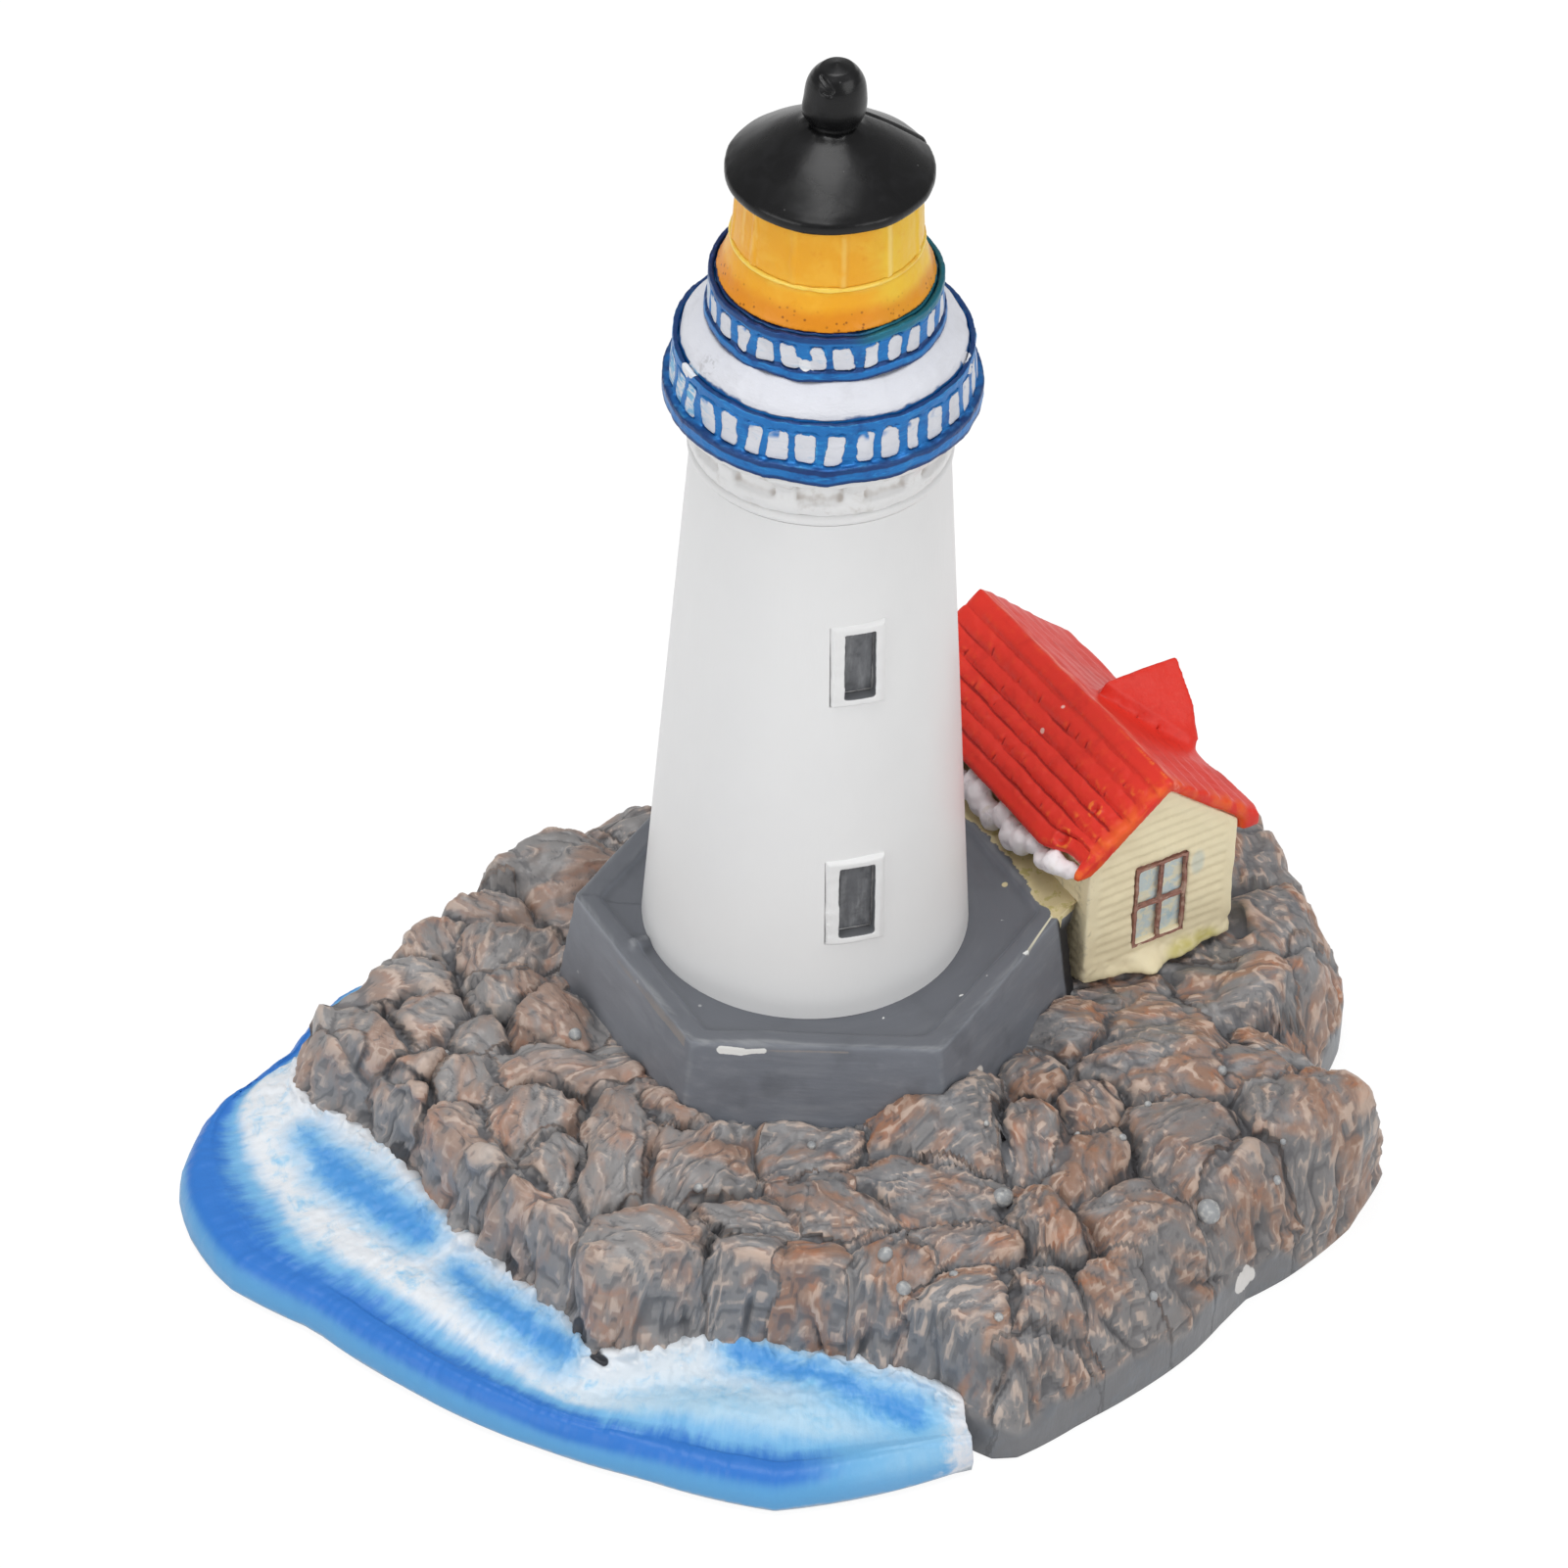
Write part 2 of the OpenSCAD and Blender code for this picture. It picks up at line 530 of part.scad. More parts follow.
module corbel_ring() {
    color("gainsboro") difference() {
        union() {
            translate([0, 0, corbel_z]) rotate_extrude() polygon([
                [0, 0], [corbel_foot_r, 0], [corbel_foot_r + 0.15, shelf_h],
                [corbel_foot_r - bay_d + 0.3, shelf_h + 0.3], [corbel_foot_r - bay_d + 0.3, corbel_h - 1.4],
                [corbel_head_r - 0.3, corbel_h - head_h], [corbel_head_r, corbel_h - head_h],
                [corbel_head_r, corbel_h], [0, corbel_h]
            ]);
            intersection() {
                translate([0, 0, corbel_z]) rotate_extrude() polygon([
                    [0, shelf_h - nick], [corbel_foot_r, shelf_h - nick],
                    [corbel_foot_r + 0.1, corbel_h / 2],
                    [corbel_head_r - 0.1, corbel_h - head_h + nick], [0, corbel_h - head_h + nick]
                ]);
                for (k = [0 : corbel_count - 1])
                    rotate([0, 0, 360 * (k + 0.5) / corbel_count - 90])
                        translate([tower_top_d / 4, -bracket_w / 2, corbel_z])
                            cube([tower_top_d / 2, bracket_w, corbel_h]);
            }
            peg(gallery_z, peg_d);
        }
        socket(corbel_z, peg_d);
    }
}

// The white wall behind the gallery railing and the domed deck over it
deck_flat = 0.3;

module gallery_drum() {
    deck_foot_r = gallery_wall_top_r;
    deck_top_r = watch_foot_d / 2;
    color("white") difference() {
        union() {
            rotate_extrude() polygon(concat(
                [[0, gallery_z], [gallery_wall_foot_r, gallery_z]],
                [for (t = [0 : 1 / 6 : 1]) [
                    mix(deck_foot_r, deck_top_r, 1 - cos(90 * t) * (1 - deck_flat * t)),
                    mix(deck_z, watch_z, t)]],
                [[0, watch_z]]));
            peg(watch_z, peg_d);
        }
        socket(gallery_z, peg_d);
    }
}

// Rounding of a railing's foot, and how far its posts' backs and faces are from its bore
foot_roll = 0.15;
post_back = 0.04;
post_depth = post_out * 0.8;

// A railing round a coned wall: a rolled foot, a top rail, and posts with open gaps between them
module railing(z, h, foot_r, rail_r, wall_foot_r, wall_top_r, foot_h, posts) {
    wall = [for (t = [0, 1]) mix(wall_foot_r, wall_top_r, t) + fit];
    translate([0, 0, z]) {
        rotate_extrude() difference() {
            union() {
                for (up = [foot_roll, foot_h - foot_roll])
                    translate([foot_r - foot_roll, up]) circle(r = foot_roll, $fn = 32);
                translate([foot_r - 2 * foot_roll, foot_roll])
                    square([2 * foot_roll, foot_h - 2 * foot_roll]);
                translate([wall[1] - 1, 0]) square([foot_r - foot_roll - wall[1] + 1, foot_h]);
                translate([wall[1] - 1, h - rail_t]) square([rail_r - wall[1] + 1, rail_t]);
            }
            polygon([[0, -nick], [wall[0], -nick], [wall[1], h + nick], [0, h + nick]]);
        }
        intersection() {
            rotate_extrude() polygon([[wall[0] + post_back, 0], [wall[0] + post_depth, 0],
                [wall[1] + post_depth, h], [wall[1] + post_back, h]]);
            for (k = [0 : posts - 1])
                rotate([0, 0, 360 * (k + 0.5) / posts])
                    translate([rail_r / 2, -post_w / 2, foot_h / 2])
                        cube([foot_r, post_w, h - foot_h / 2 - rail_t / 2]);
        }
    }
}

module gallery_railing() {
    color("royalblue") railing(gallery_z, gallery_rail_h, gallery_foot_d / 2, gallery_rail_d / 2,
        gallery_wall_foot_r, gallery_wall_top_r, gallery_foot_h, gallery_posts);
}

module watch_drum() {
    color("white") difference() {
        union() {
            translate([0, 0, watch_z])
                cylinder(h = watch_rail_h, r1 = watch_wall_foot_r, r2 = watch_wall_top_r);
            peg(lantern_z, peg_d);
        }
        socket(watch_z, peg_d);
    }
}

module watch_railing() {
    color("royalblue") railing(watch_z, watch_rail_h, watch_foot_d / 2, watch_rail_d / 2,
        watch_wall_foot_r, watch_wall_top_r, watch_foot_h, watch_posts);
}

// The amber base flares from the sill out to the railing in a shallow hollow curve
sill_out = 0.18;
sill_h = 0.35;

module lantern_base() {
    color("orange") difference() {
        union() {
            translate([0, 0, lantern_z]) rotate_extrude() polygon(concat(
                [[0, 0]],
                [for (t = [0 : 1 / 6 : 1])
                    [mix(watch_wall_top_r, lantern_d / 2, pow(t, 0.75)), flare_h * t]],
                [[0, flare_h]]));
            peg(sill_z, peg_d);
        }
        socket(lantern_z, peg_d);
    }
}

module lantern_sill() {
    color("gold") translate([0, 0, sill_z]) rotate_extrude() {
        translate([lantern_d / 2 - 1, 0]) square([1 + sill_out - sill_h / 2, sill_h]);
        translate([lantern_d / 2 + sill_out - sill_h / 2, sill_h / 2]) circle(d = sill_h, $fn = 24);
    }
}

// The glazing stands inside the sill ring, with slim bars up its face
bar_out = 0.12;
bar_turn = 10;

module lantern_glazing() {
    glass_r = [for (d = [lantern_d, lantern_top_d]) d / 2];
    color("orange") difference() {
        union() {
            translate([0, 0, sill_z]) cylinder(h = sill_h + nick, r = lantern_d / 2 - 1 - fit);
            translate([0, 0, sill_z + sill_h])
                cylinder(h = glazing_h - sill_h, r1 = glass_r[0], r2 = glass_r[1]);
            intersection() {
                translate([0, 0, sill_z + sill_h])
                    cylinder(h = glazing_h - sill_h, r1 = glass_r[0] + bar_out, r2 = glass_r[1] + bar_out);
                for (k = [0 : glazing_bars - 1])
                    rotate([0, 0, 360 * k / glazing_bars + bar_turn - 90])
                        translate([glass_r[1] / 2, -bar_w / 2, sill_z])
                            cube([lantern_d, bar_w, glazing_h]);
            }
            peg(roof_z, peg_d);
        }
        socket(sill_z, peg_d);
    }
}

// The roof's outline runs from its upright rim over a rounded shoulder and in to the neck
function roof_r(t) = mix(roof_d / 2 - 0.2, neck_d / 2, pow(t, 1.15));
function roof_h(t) = roof_rise * (0.62 * sin(90 * t) + 0.38 * t * t);

module lantern_roof() {
    color("#1c1c1e") difference() {
        translate([0, 0, roof_z]) rotate_extrude() polygon(concat(
            [[0, 0], [roof_d / 2 - 0.12, 0], [roof_d / 2, 0.2], [roof_d / 2, roof_rim_h - 0.15]],
            [for (t = [0 : 1 / 12 : 1]) [roof_r(t), roof_rim_h + roof_h(t)]],
            [[0, roof_rim_h + roof_rise]]));
        socket(roof_z, peg_d);
        translate([0, 0, neck_z - peg_h - fit]) cylinder(h = peg_h + 1, d = neck_d / 2 + 2 * fit);
    }
}

// The vent ball is a thumb-shaped knob, a little narrower at its neck
function ball_r(t) = (ball_d / 2) * pow(max(0, 1 - pow(abs(2 * t - 0.88) / 1.12, 2.6)), 0.5)
    * (t < 0.44 ? mix(neck_d * 1.04 / ball_d, 1, ease(t / 0.44)) : 1);

module vent_ball() {
    color("#1c1c1e") {
        translate([0, 0, neck_z]) rotate_extrude() polygon(concat(
            [[0, 0]],
            [for (t = [0 : 1 / 14 : 0.999]) [ball_r(t), ball_h * t]],
            [[0, ball_h]]));
        translate([0, 0, neck_z - peg_h]) cylinder(h = peg_h + 1, d = neck_d / 2);
    }
}

// One row of lapped boards of length l, standing out in -y from the plane y = 0
board_top = 0.02;

module weatherboards(l) {
    course = cottage_wall_h / boards;
    count = ceil((cottage_wall_h + gable_rise) / course);
    rotate([90, 0, 90]) linear_extrude(l) polygon(concat(
        [[nick, 0]],
        [for (k = [0 : count - 1]) each [[-board_lip, k * course], [-board_top, (k + 1) * course]]],
        [[nick, count * course]]));
}

// The house's section across its ridge, taken in from its walls
module gable_section(inset) {
    rise = (cottage_w / 2 - inset) * tan(slope);
    foot = cottage_wall_h + gable_rise - rise;
    polygon([[inset, 0], [cottage_w - inset, 0], [cottage_w - inset, foot],
        [cottage_w / 2, foot + rise], [inset, foot]]);
}

module gable_prism(inset, from, to) {
    translate([0, to, 0]) rotate([90, 0, 0]) linear_extrude(to - from) gable_section(inset);
}

module window_pocket(grow) {
    translate([cottage_w / 2 - pane_w / 2 - grow, -1, pane_z - grow])
        cube([pane_w + 2 * grow, 1 + board_lip + pane_recess, pane_h + 2 * grow]);
}

module cottage_walls() {
    color("wheat") at_cottage() difference() {
        intersection() {
            union() {
                gable_prism(board_lip, board_lip, cottage_l - board_lip);
                translate([0, board_lip, 0]) weatherboards(cottage_w);
                translate([cottage_w, cottage_l - board_lip, 0]) rotate([0, 0, 180])
                    weatherboards(cottage_w);
                translate([cottage_w - board_lip, 0, 0]) rotate([0, 0, 90]) weatherboards(cottage_l);
                translate([board_lip, cottage_l, 0]) rotate([0, 0, -90]) weatherboards(cottage_l);
                for (x = [0, cottage_w - corner_w], y = [0, cottage_l - corner_w])
                    translate([x, y, 0]) cube([corner_w, corner_w, cottage_wall_h + gable_rise]);
            }
            gable_prism(0, 0, cottage_l);
        }
        window_pocket(fit / 2);
    }
}

// Points down a slope of lapped tiles, from the ridge to an eave that stands out from the wall
function tile_points(eave) = [for (k = [0 : courses - 1]) each [
    tile_point(eave, k / courses, course_step), tile_point(eave, (k + 1) / courses, 0)]];
function tile_point(eave, t, sunk) = [
    t * eave - sunk * sin(slope) * (t > 0 ? 1 : 0),
    ridge_z - t * eave * tan(slope) - sunk * (t > 0 ? cos(slope) : 1)];

module cottage_roof() {
    left_eave = cottage_w / 2 + eave_left_out;
    right_eave = cottage_w / 2 + eave_right_out;
    left = tile_points(left_eave);
    right = tile_points(right_eave);
    under = cottage_wall_h + gable_rise;
    color("red") at_cottage() translate([cottage_w / 2, cottage_l + verge_out, 0]) rotate([90, 0, 0])
        linear_extrude(cottage_l + 2 * verge_out) polygon(concat(
            [for (k = [len(left) - 1 : -1 : 1]) [-left[k].x, left[k].y]],
            right,
            [[right_eave, cottage_wall_h - lip_drop], [cottage_w / 2 + fit, cottage_wall_h - lip_drop],
             [cottage_w / 2 + fit, cottage_wall_h - fit * tan(slope)], [0, under],
             [-cottage_w / 2, cottage_wall_h], [-left_eave, cottage_wall_h]]));
}

cross_end = cottage_w + eave_right_out;

// A triangular prism along x, with its ridge at height top, from the main ridge to x = end
module cross_prism(top, half, end) {
    translate([cottage_w / 2, cross_along, 0]) rotate([90, 0, 90]) linear_extrude(end - cottage_w / 2)
        polygon([[-half, top - half * tan(cross_slope)], [half, top - half * tan(cross_slope)], [0, top]]);
}

// All that lies under the main roof's outer face, used to fit the cross gable to it
module under_main_roof() {
    translate([0, cottage_l + 1, 0]) rotate([90, 0, 0]) linear_extrude(cottage_l + 2)
        polygon([[-cottage_w, -1], [cottage_w / 2, -1],
            [cottage_w / 2 + 2 * cottage_w, ridge_z - 2 * cottage_w * tan(slope)],
            [cottage_w / 2, ridge_z], [-cottage_w, ridge_z]]);
}

module cross_gable() {
    color("red") at_cottage() difference() {
        cross_prism(cross_ridge_z, cross_half_w, cross_end);
        translate([-nick, 0, -cross_t]) cross_prism(cross_ridge_z, cross_half_w + 1, cross_end + 1);
        under_main_roof();
    }
}

module cross_gable_wall() {
    color("wheat") at_cottage() difference() {
        cross_prism(cross_ridge_z - cross_t, cross_half_w - cross_t, cottage_w);
        under_main_roof();
    }
}

module cottage_window_frame() {
    opening_w = (pane_w - 3 * pane_bar) / 2;
    opening_h = (pane_h - 3 * pane_bar) / 2;
    back = board_lip + pane_recess - pane_t;
    color("saddlebrown") at_cottage() difference() {
        translate([cottage_w / 2 - pane_w / 2, -0.1, pane_z]) cube([pane_w, back + 0.1, pane_h]);
        for (i = [0, 1], j = [0, 1])
            translate([cottage_w / 2 - pane_w / 2 + pane_bar + i * (opening_w + pane_bar), -1,
                pane_z + pane_bar + j * (opening_h + pane_bar)]) cube([opening_w, back + 2, opening_h]);
    }
}

module cottage_window_panes() {
    color("powderblue") at_cottage()
        translate([cottage_w / 2 - pane_w / 2, board_lip + pane_recess - pane_t, pane_z])
            cube([pane_w, pane_t, pane_h]);
}

// Rough lumps of plaster along the top of the wall that faces the tower, under the eaves
lump_r = 0.95;
lump_step = 1.5;
lump_vary = 0.12;
lump_wander = 0.35;
lump_in = 0.1;
lump_z = cottage_wall_h - 2.4 * lump_r;

module eave_plaster() {
    lumps = floor((cottage_l - 3 * lump_step) / lump_step);
    color("whitesmoke") at_cottage() difference() {
        for (k = [0 : lumps - 1])
            translate([lump_in, lump_step * (k + 1.2), lump_z + lump_wander * sin(k * 137)])
                sphere(r = lump_r + lump_vary * sin(k * 101), $fn = 24);
        cube([cottage_w, cottage_l, cottage_wall_h]);
    }
}

rock_island();
sea_apron();
plinth();
tower();
lower_window_frame();
lower_window_pane();
upper_window_frame();
upper_window_pane();
corbel_ring();
gallery_drum();
gallery_railing();
watch_drum();
watch_railing();
lantern_base();
lantern_sill();
lantern_glazing();
lantern_roof();
vent_ball();
cottage_walls();
cottage_roof();
cross_gable();
cross_gable_wall();
cottage_window_frame();
cottage_window_panes();
eave_plaster();
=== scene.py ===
"""Dresses the lighthouse figurine: sculpted rocks, painted sea, relief railings, tiled cottage roof,
glossy roof and knob, and a hand-painted finish on every piece."""

import json
import math

import bpy
import numpy as np
from bpy.props import FloatProperty, FloatVectorProperty, IntProperty, PointerProperty
from mathutils import Matrix, Vector, geometry, noise

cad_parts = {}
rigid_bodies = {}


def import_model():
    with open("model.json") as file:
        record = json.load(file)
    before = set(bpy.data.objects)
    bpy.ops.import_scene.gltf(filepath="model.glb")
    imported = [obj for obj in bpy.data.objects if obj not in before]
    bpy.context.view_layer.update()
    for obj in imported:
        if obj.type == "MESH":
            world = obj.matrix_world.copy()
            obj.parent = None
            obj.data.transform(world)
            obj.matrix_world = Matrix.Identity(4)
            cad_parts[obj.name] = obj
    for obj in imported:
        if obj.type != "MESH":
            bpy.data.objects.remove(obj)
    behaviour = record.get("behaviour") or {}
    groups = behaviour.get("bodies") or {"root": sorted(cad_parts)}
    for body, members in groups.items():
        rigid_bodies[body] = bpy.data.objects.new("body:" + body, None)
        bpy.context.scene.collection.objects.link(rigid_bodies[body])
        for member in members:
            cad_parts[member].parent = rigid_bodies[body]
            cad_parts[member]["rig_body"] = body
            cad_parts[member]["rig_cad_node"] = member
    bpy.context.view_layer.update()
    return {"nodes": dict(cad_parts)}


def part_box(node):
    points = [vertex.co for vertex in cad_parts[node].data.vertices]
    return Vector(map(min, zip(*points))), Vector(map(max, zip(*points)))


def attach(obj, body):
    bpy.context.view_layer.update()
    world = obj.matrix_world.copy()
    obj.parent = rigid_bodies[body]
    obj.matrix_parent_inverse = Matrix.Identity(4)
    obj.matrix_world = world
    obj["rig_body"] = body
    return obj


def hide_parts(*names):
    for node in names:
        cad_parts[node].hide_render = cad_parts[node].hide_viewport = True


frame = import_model()
NOISE_SEED = 7
noise.seed_set(NOISE_SEED)

bl_info = {
    "name": "Lighthouse figurine finish",
    "version": (1, 0, 0),
    "blender": (4, 5, 0),
    "location": "View3D > Sidebar > Figurine",
    "description": "Sculpts and paints a cast lighthouse figurine on its packed frame",
    "category": "Object",
}

BODY = "root"
MM = 0.001

# Places on the figurine, in millimetres in the frame of the model
PLINTH_MIDDLE = (1.1, 0.0)
BAND_H = 4.5
PLATEAU_H = 11.5
GROUND_DROP = 0.8
CORE_R = 15.0
SEA_RIM_H = 3.0
SPILL_H = 18.5
GLAZING_R = 6.7
# The level ground under the cottage: its height, and its size along the gable and the ridge
PAD_H = 10.6
PAD_SIZE = (14.2, 27.4)
COTTAGE_TURN = math.radians(32)
GABLE_WAY = (math.cos(COTTAGE_TURN), math.sin(COTTAGE_TURN), 0)
RIDGE_WAY = (-math.sin(COTTAGE_TURN), math.cos(COTTAGE_TURN), 0)

# Boulders: middle in x and y, half length, half width, turn in degrees, rise as a share
BOULDERS = (
    (-36.5, -10.5, 4, 2, 0, 0.5), (-32, -8.5, 2.6, 2.4, 0, 1), (-31.5, -14, 3, 2.4, 15, 0.9),
    (-28.5, -11.5, 3, 1.6, 25, 1.1), (-28.5, -6.5, 3.2, 2.4, 20, 1), (-30, -2, 3, 2.6, 0, 0.9),
    (-29, 3.5, 3.2, 3, 40, 0.4), (-25.5, 7.5, 3.2, 2.6, 0, 0.6), (-20.8, 12.3, 5, 3.8, 0, 1.7),
    (-24, 1.5, 2.8, 3.2, 0, 0.9), (-22.5, -3, 2.8, 2.6, 0, 1), (-19.6, -6.5, 2.4, 3.4, 10, 1.6),
    (-25, -8.5, 2, 2.6, 0, 0.8), (-25, -13, 2.2, 3, 0, 1), (-18.5, -11.8, 5, 2, -5, 1.3),
    (-20.5, -16.6, 3.2, 3, 0, 1.1), (-25.6, -18.5, 2.2, 2.8, 40, 0.7), (-24, -22, 2.2, 1.8, 0, 1),
    (-21.4, -25, 3, 2.4, -20, 1), (-17.8, -21.6, 2, 3, 0, 0.8), (-18.6, -28.4, 2.6, 2.2, 0, 1),
    (-13.8, -20.6, 2.6, 6.5, -8, 1.7), (-8.4, -21.5, 3.2, 3.6, 0, 1.2), (-10.8, -31, 4.6, 3.8, 0, 1.7),
    (-10, -16.5, 2.6, 2, -30, 0.9), (-4.5, -27.2, 3.2, 2, -20, 0.7), (-4, -31.5, 3.2, 2.4, 0, 1),
    (1.5, -19.5, 3, 1.8, 0, 0.5), (3.5, -26, 3.6, 2.6, -35, 1.2), (9, -24, 5.4, 2.8, -10, 1.4),
    (1, -32, 3, 2.2, 0, 0.9), (7, -31.5, 3, 3, 0, 0.7), (12.5, -29.5, 5, 2, 8, 1.1),
    (11.6, -17.2, 4.6, 4.4, 0, 2.1), (17.2, -17.6, 3, 3.6, 10, 1.3), (13.5, -34.5, 4.4, 2.4, 5, 1),
    (18.6, -27.4, 2.4, 3.4, 15, 1.8), (22, -20.5, 3, 4.4, -15, 1.2), (24.4, -25.8, 3.4, 3, 0, 1.3),
    (18, -34, 3.8, 2.6, 10, 0.9), (23.5, -31.5, 2.6, 2.4, 0, 0.9), (20, -37.5, 4, 2.2, -30, 0.8),
    (27.2, -9.4, 5, 4, 5, 1.3), (20.4, -5.2, 2.4, 2.6, 0, 0.9), (18.4, -10.5, 2.2, 2.4, 0, 0.6),
    (22, -13.6, 2.6, 3, 0, 0.8), (29.2, -16.8, 3.8, 4.2, 20, 1.2), (38.4, -13.6, 5, 4.4, 15, 1.1),
    (34.6, -9, 2.8, 2, -20, 0.9), (38.2, -4.6, 3.2, 3.4, 10, 0.2), (33.8, -20, 3.4, 3, 30, 0.9),
    (35.8, 0.4, 2.8, 3, 0, 1.2), (39.6, 3, 2.6, 3.4, 0, 0.7), (36.6, 8, 3.2, 4, 15, 1),
    (35, 15, 3.6, 4.4, 25, 0.7), (31.5, 22, 4, 3.8, 0, 1.1), (26.5, 28.6, 4.2, 3.2, 20, 1),
    (17.5, 32.2, 4.4, 2.6, 0, 0.9), (9, 29.5, 4, 3.6, 0, 1.1), (2.4, 25.4, 3.8, 4, 15, 1),
    (-4.5, 27.5, 3.8, 3.2, 0, 1), (-9.5, 21.5, 3.8, 3.6, 30, 1.3), (-14, 26, 3.4, 3, 0, 0.9),
    (-15.5, 17.6, 3.4, 2.8, 35, 1.2), (-21.5, 19.4, 3.6, 3, 40, 0.9), (-27, 14, 3, 3.2, 0, 0.8),
)

# Width of the cliff's slope, and how far the rock overhangs its foot, by direction in degrees
CLIFF_RUN = ((0, 3.6), (150, 4), (164, 3), (180, 2.4), (286, 2), (300, 4.5), (332, 4),
             (344, 2.6), (347, 4), (351, 8), (355, 6), (360, 3.6))
BROW = ((0, 0), (336, 0.1), (341, 1.4), (345, 1.8), (348, 0.6), (350, 0), (360, 0))

# Grey resin bubbles on the rocks: place in x and y, and diameter
BUBBLES = (
    (15.3, -24.6, 1.6), (30.7, -23.2, 1.95), (6.7, -31.4, 1.25), (8.0, -34.2, 1.15), (11.7, -33.1, 0.7),
    (15.0, -36.9, 0.7), (32.0, -9.9, 0.8), (36.0, -19.3, 0.75), (36.5, -17.1, 0.5), (-17.2, -8.9, 1.0),
    (17.8, -22.6, 0.7), (1.0, -19.3, 0.7), (14.0, -18.7, 0.5), (-7.3, -24.9, 0.75), (24.3, -18.6, 0.6),
    (23.3, -23.5, 0.7), (26.3, -14.6, 0.55), (21.0, -17.2, 0.5), (-27.0, -9.5, 0.6), (26.6, -30.2, 0.8),
)
# The pit at the rocks' foot, painted near-black as its shade, and the blue pools in the foam: start and end
# in x and y, and half their width
SEA_PIT = ((-14.7, -35.4), (-13.9, -35.9))
POOLS = (
    ((-37.4, -12.2), (-35.2, -15.4), 1.0), ((-35.2, -15.4), (-32.6, -18.2), 1.7),
    ((-32.6, -18.2), (-28.3, -22.2), 1.6), ((-25.2, -26.2), (-22.7, -29.2), 1.1),
    ((-22.7, -29.2), (-17.2, -34.3), 1.5), ((-3.9, -34.2), (2.8, -36.5), 1.2),
    ((2.8, -36.5), (9.0, -39.5), 1.4), ((-37.6, -2.8), (-36.4, -0.6), 0.9),
    ((-36.4, -0.6), (-34.4, -2.4), 1.0), ((-34.5, 3.5), (-34.4, 4.2), 1.4),
)
# Spots of paint: place in x, y and z, radius, and the margin over which they fade
ROCK_CHIP = (34.1, -23.4, 2.5, 0.4, 1.7)
# The holes at the shore are painted near-black as shade.
SHORE_HOLE_SHADE = ((-29.9, -15.0, 5.2, 0.5, 1.5), (-21.2, -26.5, 4.6, 0.5, 1.4), (-15.8, -33.4, 5.0, 0.4, 1.4))
PLINTH_CHIP = (13.54, -12.5, 12.9, 0.55, 0.2)
SPILL_DROPS = ((15.3, 3.4, 18.0, 0.22, 0.06), (16.0, 3.2, 18.0, 0.2, 0.06))
DECK_MARK = (-8.26, -5.36, 74.05, 0.5, 0.7)
WALL_STAINS = ((29.7, 3.4, 11.0, 0.9, 1.4), (31.3, 4.8, 11.2, 0.7, 1.3))
ROOF_DOTS = ((12.64, 21.38, 27.3, 0.2, 0.08), (19.31, 12.93, 28.2, 0.2, 0.08), (17.8, 11.85, 26.5, 0.2, 0.08))


class FigurineSculpt(bpy.types.PropertyGroup):
    """Sizes of the sculpted relief"""
    columns: IntProperty(name="Rock columns", default=900, min=200,
                         description="Points round the island in the sculpted rock")
    rings: IntProperty(name="Rock rings", default=96, min=30,
                       description="Points from the island's foot in to its middle")
    crack_depth: FloatProperty(name="Crack depth", default=1.15 * MM, unit="LENGTH",
                               description="Depth of the dark gaps between two boulders")
    boulder_rise: FloatProperty(name="Boulder rise", default=1.7 * MM, unit="LENGTH",
                                description="Height of a large boulder over the ground")
    fold_depth: FloatProperty(name="Fold depth", default=0.4 * MM, unit="LENGTH",
                              description="Height of the folds and pillows modelled in the rock")
    swell: FloatProperty(name="Swell", default=0.22 * MM, unit="LENGTH",
                         description="Height of the ripples in the painted sea")
    wobble: FloatProperty(name="Hand wobble", default=0.05 * MM, unit="LENGTH",
                          description="Unevenness of the small cast and painted forms")


class FigurinePaint(bpy.types.PropertyGroup):
    """Paint colours"""
    rock_grey: FloatVectorProperty(name="Rock grey", subtype="COLOR", default=(0.219, 0.214, 0.216),
                                   description="Grey undercoat of the rocks")
    rock_copper: FloatVectorProperty(name="Rock copper", subtype="COLOR", default=(0.335, 0.178, 0.110),
                                     description="Copper brown brushed over the rocks")
    sea_deep: FloatVectorProperty(name="Deep sea", subtype="COLOR", default=(0.022, 0.165, 0.57),
                                  description="Deepest blue of the sea")
    sea_light: FloatVectorProperty(name="Light sea", subtype="COLOR", default=(0.135, 0.405, 0.70),
                                   description="Light blue of the sea")
    plinth: FloatVectorProperty(name="Plinth", subtype="COLOR", default=(0.182, 0.196, 0.226),
                                description="Grey of the plinth")
    tower: FloatVectorProperty(name="Tower", subtype="COLOR", default=(0.79, 0.79, 0.79),
                               description="White of the tower")
    rail: FloatVectorProperty(name="Railing", subtype="COLOR", default=(0.015, 0.170, 0.49),
                              description="Blue of the railings")
    amber: FloatVectorProperty(name="Amber", subtype="COLOR", default=(0.86, 0.40, 0.022),
                               description="Amber of the lantern")
    black: FloatVectorProperty(name="Black", subtype="COLOR", default=(0.006, 0.006, 0.0065),
                               description="Gloss black of the roof and its knob")
    cream: FloatVectorProperty(name="Cream", subtype="COLOR", default=(0.89, 0.79, 0.535),
                               description="Cream of the cottage's boards")
    red: FloatVectorProperty(name="Red", subtype="COLOR", default=(0.71, 0.034, 0.020),
                             description="Red of the cottage's roof")


